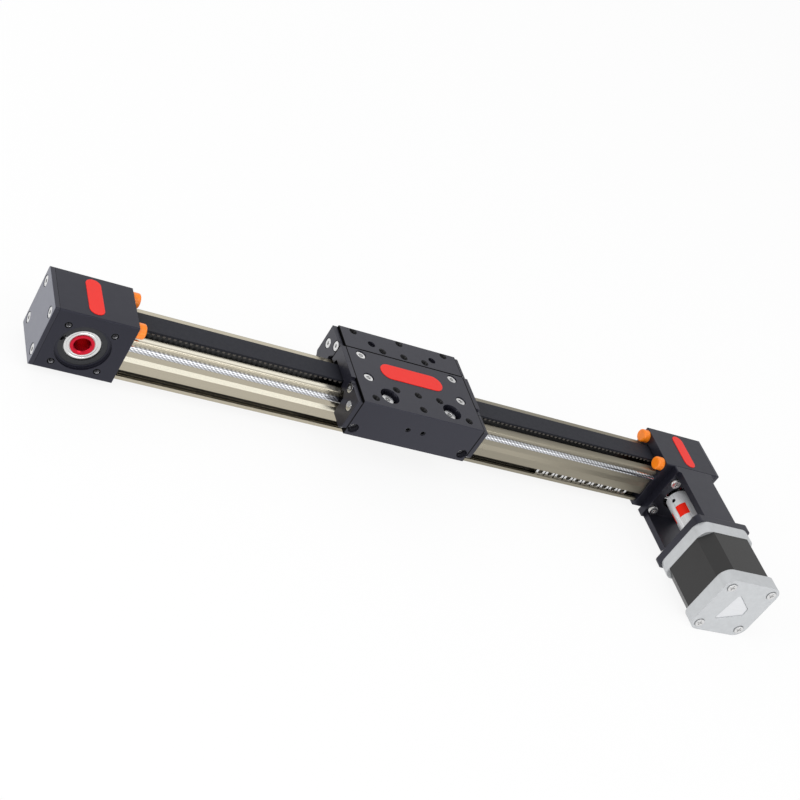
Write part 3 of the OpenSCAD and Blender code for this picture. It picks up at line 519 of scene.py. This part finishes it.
def cut_thread(color):
    """Bare metal in a tapped hole, dull with cutting oil."""
    f = Finish("cut_thread", color, Metallic=0.9, Roughness=0.3)
    f.clouded(0.001, 3, 0.7, 1.2)
    f.worn(0.0005, 3, 0.24, 0.4)
    f.relief((f.noise(0.0003, 3), 0.000002))
    return f.material


def oiled_thread(color):
    """The thread of a tapped hole in the carriage's top, painted nearly black as painted shade in the hole.
    """
    f = Finish("oiled_thread", color, Metallic=0.2, Roughness=0.4)
    f.clouded(0.001, 3, 0.7, 1.2)
    f.worn(0.0005, 3, 0.35, 0.5)
    f.relief((f.noise(0.0003, 3), 0.000002))
    return f.material


def sealed_bearing(color):
    """Bright inner ring, black seal and outer ring."""
    f = Finish("sealed_bearing", color, Roughness=0.3)
    f.clouded(0.003, 3, 0.94, 1.05)
    bright = f.either(*(f.near_line(joint_place(spin), (0, 1, 0), SEAL_RADIUS)
                        for spin in ("idler_spin", "drive_spin")))
    f.feed(bright, "Metallic")
    f.overlaid(f.between(bright, 1.0, 0.0), SEAL_BLACK)
    f.worn(0.0007, 4, 0.2, 0.34)
    f.relief((f.noise(0.00025, 3), 0.000003), edge=0.0002)
    return f.material


# Where the rail's finish, its painted shade and its painted highlights change, in metres. Levels count from
# its foot, (from, to) along Z, and the crown's from its top. Sides are distances from its middle plane, and
# stretches run along X.
CHANNEL_FLOOR = 0.0202
CHANNEL_LIP = 0.0008
CHANNEL_HALF = 0.0094
SLOT_LEVELS = (0.0004, 0.012)
SLOT_SIDES = (0.0098, 0.01325)
WAIST_LEVELS = (0.0125, 0.0152)
CROWN_LEVELS = (-0.0004, 0.0001)
CROWN_SIDES = (0.0098, 0.0148)
CREST_SIDES = (0.0105, 0.0125)
LIT_STRETCH = (-0.06, 0.05)
SHADE_STRETCH = (-0.045, 0.04)
DULL_STRETCH = (0.03, 0.11)
# Painted shade inside the channel and the slots, and painted highlights on the waist, the crown and its
# crest.
RECESS_SHADE_BLACK = (0.012, 0.012, 0.012)
WAIST_HIGHLIGHT = (0.82, 0.78, 0.65)
CROWN_HIGHLIGHT = (0.60, 0.56, 0.46)
CREST_HIGHLIGHT = (0.80, 0.76, 0.64)


def champagne_extrusion(color):
    """Polished, pale gold anodised profile with die lines along the rail.

    The channel and the slots are painted black inside as painted shade. Painted highlights run along the
    waist and the crown on the idler's half, and the other half is painted darker as painted shade and is
    duller.
    """
    f = Finish("champagne_extrusion", color, Metallic=0.95, Roughness=0.24)
    low, high, _ = node_box("rail_profile")

    def level(start, span):
        """1 between two levels above a start."""
        return f.within("Z", start + span[0], start + span[1])

    def front(span):
        """1 between two distances in front of the middle plane."""
        return f.within("Y", -span[1], -span[0])

    channel = f.both(f.within("Z", low[2] + CHANNEL_FLOOR, high[2] - CHANNEL_LIP),
                     f.within("Y", -CHANNEL_HALF, CHANNEL_HALF))
    slot = f.both(level(low[2], SLOT_LEVELS), f.either(front(SLOT_SIDES), f.within("Y", *SLOT_SIDES)))
    f.clouded(0.0011, 4, 0.95, 1.05, stretch=(0.012, 1, 1))
    # Painted shade inside the channel and the slots.
    f.overlaid(f.either(channel, slot), RECESS_SHADE_BLACK)
    # Painted highlights along the waist, the crown and its crest, on the idler's half.
    lit = f.fading("X", *LIT_STRETCH, 0.0)
    f.overlaid(f.both(lit, level(low[2], WAIST_LEVELS)), WAIST_HIGHLIGHT)
    crown = f.both(lit, level(high[2], CROWN_LEVELS))
    f.overlaid(f.both(crown, front(CROWN_SIDES)), CROWN_HIGHLIGHT)
    f.overlaid(f.both(crown, front(CREST_SIDES)), CREST_HIGHLIGHT)
    # Painted shade: the base colour darkens along X over the shade stretch.
    f.dimmed(f.fading("X", *SHADE_STRETCH, 0.66))
    grain = f.between(f.noise(0.0006, 3, stretch=(0.02, 1, 1)), 0.17, 0.27)
    dull = f.between(f.fading("X", *DULL_STRETCH, 0.0), 0.25, 0.0)
    f.feed(f.combined("ADD", grain, dull), "Roughness")
    f.relief((f.noise(0.0005, 3, stretch=(0.01, 1, 1)), 0.0000022), edge=0.0003)
    return f.material


GRINDING_PITCH = 0.00132
GRINDING_SLANT = math.radians(58)


def ground_rod(color):
    """Hardened rod with the fine slanting lines that centreless grinding leaves."""
    f = Finish("ground_rod", color, Metallic=1.0, Roughness=0.16)
    slant = f.lines(GRINDING_PITCH, "X", turn=(0, GRINDING_SLANT, 0), wobble=0.4)
    f.tinted(slant, 0.52, 1.1)
    f.worn(0.0008, 3, 0.12, 0.24)
    f.relief((slant, 0.000012), (f.noise(0.0002, 2, stretch=(0.1, 1, 1)), 0.000001))
    return f.material


def bright_steel(color):
    """Nickel plated screws and nuts."""
    f = Finish("bright_steel", color, Metallic=1.0, Roughness=0.22)
    f.clouded(0.003, 3, 0.94, 1.05)
    f.worn(0.0007, 4, 0.16, 0.3)
    f.relief((f.noise(0.00025, 3), 0.000003), edge=0.0002)
    return f.material


def turned_aluminium(color):
    """Machined aluminium with fine turning marks."""
    f = Finish("turned_aluminium", color, Metallic=0.2, Roughness=0.4)
    f.clouded(0.004, 3, 0.95, 1.05)
    f.worn(0.0009, 3, 0.22, 0.34, stretch=(1, 0.05, 1))
    f.relief((f.lines(0.00016, "Y"), 0.0000022), edge=0.00025)
    return f.material


# The belt's teeth, as depths below its top, and the paler colour over them.
TOOTH_DEPTHS = (0.00125, 0.0025)
TOOTH_BAND_COLOUR = (0.11, 0.10, 0.09)
FABRIC_PITCH = 0.0005


def belt_rubber(color):
    """Moulded rubber with a fine fabric print and a paler band over its teeth."""
    f = Finish("belt_rubber", color, Roughness=0.62, Specular_IOR_Level=0.3)
    f.clouded(0.006, 5, 0.85, 1.2)
    top = node_box("toothed_belt")[1][2]
    f.overlaid(f.within("Z", top - TOOTH_DEPTHS[1], top - TOOTH_DEPTHS[0]), TOOTH_BAND_COLOUR)
    f.worn(0.002, 4, 0.52, 0.7)
    f.relief((f.lines(FABRIC_PITCH, "X"), 0.00001), (f.lines(FABRIC_PITCH, "Y"), 0.00001), edge=0.0002)
    return f.material


def bumper_rubber(color):
    """Smooth orange elastomer."""
    f = Finish("bumper_rubber", color, Roughness=0.38, Subsurface_Weight=0.06, Subsurface_Scale=0.002)
    f.clouded(0.003, 3, 0.94, 1.05)
    f.worn(0.0012, 3, 0.32, 0.46)
    f.relief((f.noise(0.0006, 3), 0.000008), edge=0.0004)
    return f.material


def name_plate_red(color):
    """Glossy enamel over a pressed plate, left bare."""
    f = Finish("name_plate_red", color, Roughness=0.3, Specular_IOR_Level=0.22)
    f.clouded(0.008, 3, 0.95, 1.05)
    f.worn(0.002, 3, 0.26, 0.36)
    f.relief((f.noise(0.0015, 2), 0.000001))
    return f.material


def red_anodised(color):
    """Bright red dyed aluminium."""
    f = Finish("red_anodised", color, Metallic=0.85, Roughness=0.22)
    f.clouded(0.003, 3, 0.9, 1.1)
    f.worn(0.0006, 3, 0.18, 0.3, stretch=(1, 0.05, 1))
    f.relief((f.lines(0.00015, "Y"), 0.000002), edge=0.0003)
    return f.material


def spider_rubber(color):
    """Satin red polyurethane."""
    f = Finish("spider_rubber", color, Roughness=0.42, Specular_IOR_Level=0.15)
    f.clouded(0.002, 3, 0.93, 1.05)
    f.worn(0.0008, 3, 0.36, 0.5)
    f.relief((f.noise(0.0004, 3), 0.000006), edge=0.0003)
    return f.material


def die_casting(color):
    """Fine grained grey casting with soft edges."""
    f = Finish("die_casting", color, Metallic=0.55, Roughness=0.46)
    f.clouded(0.0035, 6, 0.88, 1.1, rough=0.65)
    f.worn(0.0012, 5, 0.38, 0.56)
    f.relief((f.noise(0.00045, 5, rough=0.6), 0.00003), edge=0.0007)
    return f.material


def laminated_black(color):
    """Black painted stack of thin sheets: faint lines round the motor."""
    f = Finish("laminated_black", color, Roughness=0.4, Specular_IOR_Level=0.55)
    f.clouded(0.005, 4, 0.9, 1.15)
    f.worn(0.001, 4, 0.34, 0.48)
    f.relief((f.lines(0.0005, "Y"), 0.000006), (f.noise(0.0003, 3), 0.000004), edge=0.0003)
    return f.material


def black_oxide(color):
    """Oiled black steel."""
    f = Finish("black_oxide", color, Metallic=0.7, Roughness=0.34)
    f.clouded(0.002, 3, 0.85, 1.2)
    f.worn(0.0007, 3, 0.28, 0.42)
    f.relief((f.noise(0.0002, 3), 0.000003), edge=0.0002)
    return f.material


def pressed_felt(color):
    """Grey wool felt."""
    f = Finish("pressed_felt", color, Roughness=0.95, Sheen_Weight=0.3, Sheen_Roughness=0.5)
    f.clouded(0.0012, 6, 0.75, 1.2, rough=0.7)
    f.worn(0.0006, 3, 0.9, 1.0)
    f.relief((f.noise(0.0003, 5, rough=0.7), 0.00012))
    return f.material


def socket_plastic(color):
    """Moulded black connector plastic."""
    f = Finish("socket_plastic", color, Roughness=0.45)
    f.clouded(0.003, 3, 0.9, 1.15)
    f.worn(0.001, 3, 0.4, 0.52)
    f.relief((f.noise(0.0003, 3), 0.000005), edge=0.0002)
    return f.material


def foil_plate(color):
    """Plain silver foil plate, brushed one way."""
    f = Finish("foil_plate", color, Metallic=0.9, Roughness=0.3)
    brush = f.noise(0.0004, 3, stretch=(0.05, 1, 1))
    f.tinted(brush, 0.92, 1.05)
    f.worn(0.0006, 3, 0.24, 0.38, stretch=(0.05, 1, 1))
    f.relief((brush, 0.000002), edge=0.0002)
    return f.material


FINISHES = {
    "black_anodised": black_anodised,
    "block_black": block_black,
    "cover_black": cover_black,
    "carriage_black": carriage_black,
    "cut_thread": cut_thread,
    "oiled_thread": oiled_thread,
    "sealed_bearing": sealed_bearing,
    "champagne_aluminium": champagne_extrusion,
    "guide_rod": ground_rod,
    "bright_steel": bright_steel,
    "bare_aluminium": turned_aluminium,
    "belt_rubber": belt_rubber,
    "bumper_orange": bumper_rubber,
    "plate_red": name_plate_red,
    "red_anodised": red_anodised,
    "spider_red": spider_rubber,
    "cast_grey": die_casting,
    "stack_black": laminated_black,
    "black_steel": black_oxide,
    "felt": pressed_felt,
    "socket_plastic": socket_plastic,
    "foil": foil_plate,
}
made = {}


def finish(name):
    """The material of that name, made once with the colour from the settings."""
    if name not in made:
        colors = bpy.context.scene.axis_colors
        made[name] = FINISHES[name](tuple(getattr(colors, name)))
    return made[name]


def dress(node_name, finish_name):
    """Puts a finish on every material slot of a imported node."""
    obj = NODES[node_name]
    if not obj.material_slots:
        raise RuntimeError(f"{node_name} has no material slot")
    for slot in obj.material_slots:
        slot.material = finish(finish_name)


def keep(obj, finish_name, body, replaces=()):
    """Gives a new piece its finish and fixes it to a body of the frame."""
    obj.data.materials.append(finish(finish_name))
    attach(obj, body)
    if replaces:
        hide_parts(*replaces)


# --------------------------------------------------
# Settings
# --------------------------------------------------


def color_setting(name, color):
    """A colour in the panel."""
    return FloatVectorProperty(name=name, description=f"Colour of the {name.lower()}", subtype="COLOR",
                               size=3, min=0.0, max=1.0, default=color)


class AxisColors(bpy.types.PropertyGroup):
    """The colours of the finishes"""
    black_anodised: color_setting("Black anodised parts", (0.007, 0.007, 0.012))
    block_black: color_setting("End blocks", (0.0085, 0.0085, 0.0135))
    # Colour of the painted highlight on the end covers' outer faces.
    cover_black: color_setting("End covers", (0.075, 0.079, 0.088))
    carriage_black: color_setting("Carriage", (0.0095, 0.0095, 0.015))
    cut_thread: color_setting("Block threads", (0.42, 0.42, 0.44))
    # Painted shade in the holes of the carriage's top.
    oiled_thread: color_setting("Carriage threads", (0.012, 0.012, 0.014))
    sealed_bearing: color_setting("Bearing rings", (0.72, 0.72, 0.72))
    champagne_aluminium: color_setting("Rail", (0.46, 0.42, 0.33))
    guide_rod: color_setting("Guide rods", (0.62, 0.63, 0.66))
    bright_steel: color_setting("Screws and nuts", (0.72, 0.72, 0.72))
    bare_aluminium: color_setting("Coupling and pulleys", (0.78, 0.79, 0.81))
    belt_rubber: color_setting("Belt", (0.013, 0.014, 0.021))
    bumper_orange: color_setting("Bumpers", (1.0, 0.24, 0.008))
    plate_red: color_setting("Name plates", (0.84, 0.022, 0.014))
    red_anodised: color_setting("Hollow shafts", (0.62, 0.012, 0.035))
    spider_red: color_setting("Coupling spider", (1.0, 0.022, 0.008))
    cast_grey: color_setting("Motor castings", (0.58, 0.595, 0.61))
    stack_black: color_setting("Motor stack", (0.0105, 0.01, 0.01))
    black_steel: color_setting("Black steel", (0.035, 0.036, 0.04))
    felt: color_setting("Rod wipers", (0.32, 0.31, 0.29))
    socket_plastic: color_setting("Motor socket", (0.02, 0.02, 0.02))
    foil: color_setting("Bare foil plate", (0.80, 0.81, 0.83))


class AxisSizes(bpy.types.PropertyGroup):
    """The sizes of the small parts and the levels of the light"""
    thread_depth: FloatProperty(name="Thread depth", description="Height of the thread ridges",
                                unit="LENGTH", default=0.0003, min=0.00005, max=0.0004)
    knurl_height: FloatProperty(name="Knurl height", description="Height of the ridges on the screw heads",
                                unit="LENGTH", default=0.00008, min=0.0, max=0.0002)
    knurl_count: IntProperty(name="Knurl count", description="Ridges round a screw head",
                             default=40, min=12, max=80)
    plate_edge: FloatProperty(name="Plate edge", description="Rounding of the name plates' rims",
                              unit="LENGTH", default=0.00018, min=0.00005, max=0.0003)
    lamp_power: FloatProperty(name="Lamp power", description="Power of the main soft lamp",
                              unit="POWER", default=2.5, min=0.0, max=200.0)
    sky_level: FloatProperty(name="Sky level", description="Brightness of the even light all round",
                             default=0.8, min=0.0, max=1.5)


# --------------------------------------------------
# Operators
# --------------------------------------------------


class AXIS_OT_rail(bpy.types.Operator):
    """Finish the rail, its guide rods and the nuts in its slot"""
    bl_idname = "axis.rail"
    bl_label = "Rail and rods"

    def execute(self, context):
        dress("rail_profile", "champagne_aluminium")
        for name in ("front_guide_rod", "back_guide_rod"):
            dress(name, "guide_rod")
        dress("slot_nuts", "bright_steel")
        return {"FINISHED"}


class AXIS_OT_belt(bpy.types.Operator):
    """Finish the belt, its pulleys and its clamps"""
    bl_idname = "axis.belt"
    bl_label = "Belt drive"

    def execute(self, context):
        dress("toothed_belt", "belt_rubber")
        for name in ("idler_pulley", "drive_pulley", "belt_clamps"):
            dress(name, "bare_aluminium")
        for name in ("idler_hollow_shaft", "drive_hollow_shaft"):
            dress(name, "red_anodised")
        dress("drive_shaft", "bright_steel")
        return {"FINISHED"}


class AXIS_OT_end_blocks(bpy.types.Operator):
    """Finish both end blocks, their covers, bearings, circlips, screws and bumpers"""
    bl_idname = "axis.end_blocks"
    bl_label = "End blocks"

    def execute(self, context):
        for end in ("idler", "drive"):
            dress(f"{end}_block", "block_black")
            dress(f"{end}_end_cover", "cover_black")
            for part in ("cover_screws", "rail_screws"):
                dress(f"{end}_{part}", "bright_steel")
            dress(f"{end}_bearings", "sealed_bearing")
            dress(f"{end}_circlips", "black_steel")
            dress(f"{end}_bumpers", "bumper_orange")
        return {"FINISHED"}


class AXIS_OT_carriage(bpy.types.Operator):
    """Finish the carriage, its end caps, rollers, screws and wipers"""
    bl_idname = "axis.carriage"
    bl_label = "Carriage"

    def execute(self, context):
        for name in ("carriage_plate", "adjusting_bar", "left_end_cap", "right_end_cap"):
            dress(name, "carriage_black")
        dress("leg_grub_screws", "black_steel")
        for name in ("bar_screws", "end_cap_screws", "clamp_screws", "wiper_screws",
                     "front_roller_bolts", "back_roller_pins", "roller_spacers", "front_left_roller",
                     "front_right_roller", "back_left_roller", "back_right_roller"):
            dress(name, "bright_steel")
        dress("rod_wipers", "felt")
        return {"FINISHED"}


class AXIS_OT_coupling(bpy.types.Operator):
    """Finish the coupling housing and the shaft coupling in it"""
    bl_idname = "axis.coupling"
    bl_label = "Coupling"

    def execute(self, context):
        dress("coupling_housing", "black_anodised")
        for name in ("coupling_drive_hub", "coupling_motor_hub"):
            dress(name, "bare_aluminium")
        dress("coupling_spider", "spider_red")
        dress("coupling_set_screws", "black_steel")
        for name in ("housing_screws", "motor_mount_screws"):
            dress(name, "bright_steel")
        return {"FINISHED"}


class AXIS_OT_motor(bpy.types.Operator):
    """Finish the motor's castings, stack, shaft, screws and socket"""
    bl_idname = "axis.motor"
    bl_label = "Motor"

    def execute(self, context):
        for name in ("motor_front_flange", "motor_rear_cap"):
            dress(name, "cast_grey")
        dress("motor_stack", "stack_black")
        for name in ("motor_shaft", "motor_tie_screws"):
            dress(name, "bright_steel")
        dress("motor_socket", "socket_plastic")
        return {"FINISHED"}


class AXIS_OT_name_plates(bpy.types.Operator):
    """Lay the three bare red plates with rounded rims"""
    bl_idname = "axis.name_plates"
    bl_label = "Name plates"

    def execute(self, context):
        edge = context.scene.axis_sizes.plate_edge / MM
        for node, body in (("idler_name_plate", "base"), ("drive_name_plate", "base"),
                           ("carriage_name_plate", "carriage")):
            low, high, middle = node_box(node)
            size = (high - low) / MM
            u, v = (X_AXIS, Y_AXIS) if size[0] > size[1] else (Y_AXIS, -X_AXIS)
            outline = pill_outline(size[:2].max(), size[:2].min())
            centre = np.array([middle[0], middle[1], low[2]])
            grid = outline_plate(outline, size[2], edge, centre, u, v, Z_AXIS)
            keep(mesh_object(node + "_domed", *grid), "plate_red", body, (node,))
        return {"FINISHED"}


def pill_outline(length, width, steps=40):
    """Two straight sides joined by half circles: points at equal angles round each end, in mm."""
    r = width / 2
    t = np.linspace(-np.pi / 2, np.pi / 2, steps)
    right = np.column_stack([(length / 2 - r) + r * np.cos(t), r * np.sin(t)])
    return np.concatenate([right, -right])


# The foil plate, in mm from the motor's axis: x, z, first and last angle of each rounded corner.
FOIL_CORNERS = ((-4.2, 8.6, 150, 40), (7.6, 0.4, 40, 0), (7.8, -3.2, 0, -58), (-6.4, -8.6, -58, -210))
FOIL_ROUNDING = 1.4
CORNER_POINTS = 9
FOIL_THICKNESS = 0.2
FOIL_EDGE = 0.08
RECESS_DEPTH = 0.6


class AXIS_OT_rear_plate(bpy.types.Operator):
    """Lay a bare foil plate in the three-cornered recess of the motor's rear cap"""
    bl_idname = "axis.rear_plate"
    bl_label = "Rear plate"

    def execute(self, context):
        back = node_box("motor_rear_cap")[0][1]
        axis = joint_place("drive_spin")
        outline = []
        for x, z, first, last in FOIL_CORNERS:
            a = np.radians(np.linspace(first, last, CORNER_POINTS))
            outline.append(np.column_stack([x + FOIL_ROUNDING * np.cos(a), z + FOIL_ROUNDING * np.sin(a)]))
        centre = np.array([axis[0], back + RECESS_DEPTH * MM, axis[2]])
        grid = outline_plate(np.concatenate(outline), FOIL_THICKNESS, FOIL_EDGE, centre,
                             X_AXIS, Z_AXIS, -Y_AXIS)
        keep(mesh_object("rear_foil_plate", *grid), "foil", "base")
        return {"FINISHED"}


# Pitch and depth of the threads, in mm, and the gap between a sleeve and its hole.
CARRIAGE_THREAD = (0.7, 5.2)
BLOCK_THREAD = (0.5, 5.0)
THREAD_GAP = 0.004


class AXIS_OT_threads(bpy.types.Operator):
    """Cut threads into the tapped holes of the carriage and the end blocks"""
    bl_idname = "axis.threads"
    bl_label = "Threads"

    def execute(self, context):
        crest = context.scene.axis_sizes.thread_depth / MM
        for body, thread, look in (("carriage", CARRIAGE_THREAD, "oiled_thread"),
                                   ("base", BLOCK_THREAD, "cut_thread")):
            pitch, depth = thread
            sleeves = []
            for name in BOLT_PATTERNS:
                if name.startswith("carriage") != (body == "carriage"):
                    continue
                mount = MOUNTS[name]
                radius = mount["dims"]["hole_r_mm"]
                for point in pattern_points(mount):
                    sleeves.append(thread_sleeve(point, mount["axis"], radius - THREAD_GAP, depth, pitch,
                                                 crest * radius / 2))
            keep(mesh_object(f"{body}_hole_threads", *join_grids(sleeves)), look, body)
        return {"FINISHED"}


# The M3 socket head, in mm.
HEAD_R = 2.75
HEAD_H = 3.0
# The band round it as (distance from the head's wall in mm, share of the head's height).
BAND_PROFILE = ((0.006, 0.12), (0.006, 0.86), (0.03, 0.86), (0.05, 0.80), (0.05, 0.16), (0.03, 0.12))


class AXIS_OT_knurls(bpy.types.Operator):
    """Put knurled bands round the socket heads of the housing, motor and clamp screws"""
    bl_idname = "axis.knurls"
    bl_label = "Knurled heads"

    def execute(self, context):
        sizes = context.scene.axis_sizes
        count, rise = sizes.knurl_count, sizes.knurl_height
        profile = [(HEAD_R + out, share * HEAD_H) for out, share in BAND_PROFILE]

        def ridges(angle, r, h):
            """Each ridge is a half wave: |sin(count t / 2)| times the ridge height, outside only."""
            wave = rise * np.abs(np.sin(angle * count / 2))
            return np.where(r > r.mean(), wave, 0.0)

        def square_of_bands(node, direction):
            """Bands round a node's four heads, which end flush with its box on the side of direction."""
            low, high, middle = node_box(node)
            reach = (high - low) / 2 - HEAD_R * MM
            axis = int(np.argmax(np.abs(direction)))
            first, second = [i for i in range(3) if i != axis]
            bands = []
            for a in (-1, 1):
                for b in (-1, 1):
                    point = middle.copy()
                    point[first] += a * reach[first]
                    point[second] += b * reach[second]
                    point[axis] += direction[axis] * ((high - low)[axis] / 2 - HEAD_H * MM)
                    bands.append(turned_ring(profile, point, direction, count * 6, ridges))
            return bands

        bands = {"base": square_of_bands("housing_screws", -Y_AXIS)
                 + square_of_bands("motor_mount_screws", Y_AXIS),
                 "carriage": square_of_bands("clamp_screws", Z_AXIS)}
        for body, rings in bands.items():
            obj = mesh_object(f"{body}_knurled_bands", *join_grids(rings))
            keep(obj, "bright_steel", body)
        return {"FINISHED"}


# A bearing's face from its inner ring out to the seal, as (radius, height) in mm.
BEARING_PROFILE = ((6.3, 0.0), (6.3, 0.1), (6.42, 0.2), (7.35, 0.2), (7.5, 0.06), (7.7, 0.06), (7.85, 0.2),
                   (8.1, 0.26), (8.9, 0.26), (9.15, 0.18), (9.25, 0.04), (9.25, 0.0))


class AXIS_OT_bearing_faces(bpy.types.Operator):
    """Press the bearings' bright inner rings and shields"""
    bl_idname = "axis.bearing_faces"
    bl_label = "Bearing faces"

    def execute(self, context):
        rings = []
        for end in ("idler", "drive"):
            low, high, middle = node_box(f"{end}_bearings")
            for side, y in ((-1, low[1]), (1, high[1])):
                centre = np.array([middle[0], y, middle[2]])
                rings.append(turned_ring(BEARING_PROFILE, centre, (0, side, 0), steps=128))
        obj = mesh_object("bearing_faces", *join_grids(rings))
        keep(obj, "bright_steel", "base")
        return {"FINISHED"}


# --------------------------------------------------
# Studio
# --------------------------------------------------

CAMERA_PLACE = (-0.4097, -0.5549, 0.4303)
CAMERA_RIGHT = (0.838, -0.246, 0.488)
CAMERA_UP = (-0.213, 0.676, 0.706)
CAMERA_LENS = 64.86

# Name, place, size and share of the main lamp's power.
LAMPS = (("key_lamp", (0.3, -0.85, 1.15), (0.7, 0.5), 1.0),
         ("back_lamp", (0.1, 1.15, 0.8), (1.2, 0.5), 0.3),
         ("left_lamp", (-1.3, -0.3, 0.6), (0.6, 0.6), 2.4),
         ("front_strip", (0.45, -1.5, 0.2), (1.6, 0.34), 1.5))

FLOOR_REACH = 6.0
FLOOR_GAP = 0.0002
FLOOR_GREY = (0.94, 0.94, 0.94)
FLOOR_ROUGHNESS = 0.9
# Share of plain white that the camera and reflections see in the floor, over its shadows.
FLOOR_GLOW = 0.87


def soft_lamp(name, place, size, power):
    """A soft lamp that faces the middle of the rail's foot."""
    data = bpy.data.lights.new(name, "AREA")
    data.shape = "RECTANGLE"
    data.size, data.size_y = size
    data.energy = power
    lamp = bpy.data.objects.new(name, data)
    lamp.location = place
    lamp.rotation_euler = (-Vector(place)).to_track_quat("-Z", "Y").to_euler()
    bpy.context.scene.collection.objects.link(lamp)


def show_instead(tree, target, usual, shown, other_ray, share=1.0):
    """Puts a share of another shader in place of the usual one, for camera rays and one other kind."""
    rays = tree.nodes.new("ShaderNodeLightPath").outputs
    seen = add_node(tree, "Math", {0: rays["Is Camera Ray"], 1: rays[other_ray]}, operation="MAXIMUM")
    level = add_node(tree, "Math", {0: seen.outputs["Value"], 1: share}, operation="MULTIPLY")
    mix = add_node(tree, "MixShader", {0: level.outputs["Value"], 1: usual, 2: shown})
    tree.links.new(mix.outputs["Shader"], tree.nodes[target].inputs["Surface"])


class AXIS_OT_studio(bpy.types.Operator):
    """Build the pale floor, the even sky, the soft lamps and the camera"""
    bl_idname = "axis.studio"
    bl_label = "Studio"

    def execute(self, context):
        scene = context.scene
        sizes = scene.axis_sizes
        self.camera(scene)
        self.floor(CAD_BOX[0][2])
        self.sky(scene, sizes.sky_level)
        for name, place, size, share in LAMPS:
            soft_lamp(name, place, size, sizes.lamp_power * share)
        scene.view_settings.view_transform = "Standard"
        return {"FINISHED"}

    def camera(self, scene):
        """The viewing direction comes from its right and up vectors, made perpendicular first."""
        right = Vector(CAMERA_RIGHT).normalized()
        back = right.cross(Vector(CAMERA_UP)).normalized()
        up = back.cross(right)
        data = bpy.data.cameras.new("camera")
        data.lens = CAMERA_LENS
        data.sensor_width = 36
        data.clip_start, data.clip_end = 0.01, 50
        camera = bpy.data.objects.new("camera", data)
        camera.matrix_world = Matrix((
            (right.x, up.x, back.x, CAMERA_PLACE[0]),
            (right.y, up.y, back.y, CAMERA_PLACE[1]),
            (right.z, up.z, back.z, CAMERA_PLACE[2]),
            (0, 0, 0, 1)))
        scene.collection.objects.link(camera)
        scene.camera = camera

    def floor(self, height):
        """A flat pale sheet just under the object. The camera sees it nearly white, with a faint shadow."""
        level = height - FLOOR_GAP
        points = np.array([(x * FLOOR_REACH, y * FLOOR_REACH, level)
                           for x, y in ((-1, -1), (1, -1), (1, 1), (-1, 1))])
        obj = mesh_object("floor", points, np.array([[0, 1, 2, 3]]), smooth=False)
        material = bpy.data.materials.new("pale_floor")
        material.use_nodes = True
        tree = material.node_tree
        shader = tree.nodes["Principled BSDF"]
        shader.inputs["Base Color"].default_value = (*FLOOR_GREY, 1)
        shader.inputs["Roughness"].default_value = FLOOR_ROUGHNESS
        glow = add_node(tree, "Emission", {"Strength": 1.0})
        show_instead(tree, "Material Output", shader.outputs["BSDF"], glow.outputs["Emission"],
                     "Is Glossy Ray", FLOOR_GLOW)
        obj.data.materials.append(material)

    def sky(self, scene, level):
        """Even light at the given level, shown as plain white to the camera and through glass."""
        world = bpy.data.worlds.new("studio_sky")
        scene.world = world
        world.use_nodes = True
        tree = world.node_tree
        plain = tree.nodes["Background"]
        plain.inputs["Color"].default_value = (1, 1, 1, 1)
        plain.inputs["Strength"].default_value = level
        white = add_node(tree, "Background", {"Color": (1, 1, 1, 1), "Strength": 1.0})
        show_instead(tree, "World Output", plain.outputs["Background"], white.outputs["Background"],
                     "Is Transmission Ray")


STEPS = (AXIS_OT_rail, AXIS_OT_belt, AXIS_OT_end_blocks, AXIS_OT_carriage, AXIS_OT_coupling,
         AXIS_OT_motor, AXIS_OT_name_plates, AXIS_OT_rear_plate, AXIS_OT_threads, AXIS_OT_knurls,
         AXIS_OT_bearing_faces, AXIS_OT_studio)


class AXIS_PT_panel(bpy.types.Panel):
    """Settings and steps of the linear axis"""
    bl_idname = "AXIS_PT_panel"
    bl_label = "Linear axis"
    bl_space_type = "VIEW_3D"
    bl_region_type = "UI"
    bl_category = "Linear axis"

    def draw(self, context):
        layout = self.layout
        for group in (context.scene.axis_colors, context.scene.axis_sizes):
            box = layout.box()
            for name in group.__annotations__:
                box.prop(group, name)
        for step in STEPS:
            layout.operator(step.bl_idname)


CLASSES = (AxisColors, AxisSizes, *STEPS, AXIS_PT_panel)


def register():
    """Makes the settings, the steps and the panel known to Blender."""
    for cls in CLASSES:
        bpy.utils.register_class(cls)
    bpy.types.Scene.axis_colors = PointerProperty(type=AxisColors)
    bpy.types.Scene.axis_sizes = PointerProperty(type=AxisSizes)


def unregister():
    """Takes them away again."""
    del bpy.types.Scene.axis_sizes
    del bpy.types.Scene.axis_colors
    for cls in reversed(CLASSES):
        bpy.utils.unregister_class(cls)


def main():
    """Runs every step in order."""
    register()
    bpy.ops.axis.rail()
    bpy.ops.axis.belt()
    bpy.ops.axis.end_blocks()
    bpy.ops.axis.carriage()
    bpy.ops.axis.coupling()
    bpy.ops.axis.motor()
    bpy.ops.axis.name_plates()
    bpy.ops.axis.rear_plate()
    bpy.ops.axis.threads()
    bpy.ops.axis.knurls()
    bpy.ops.axis.bearing_faces()
    bpy.ops.axis.studio()


if __name__ == "__main__":
    main()
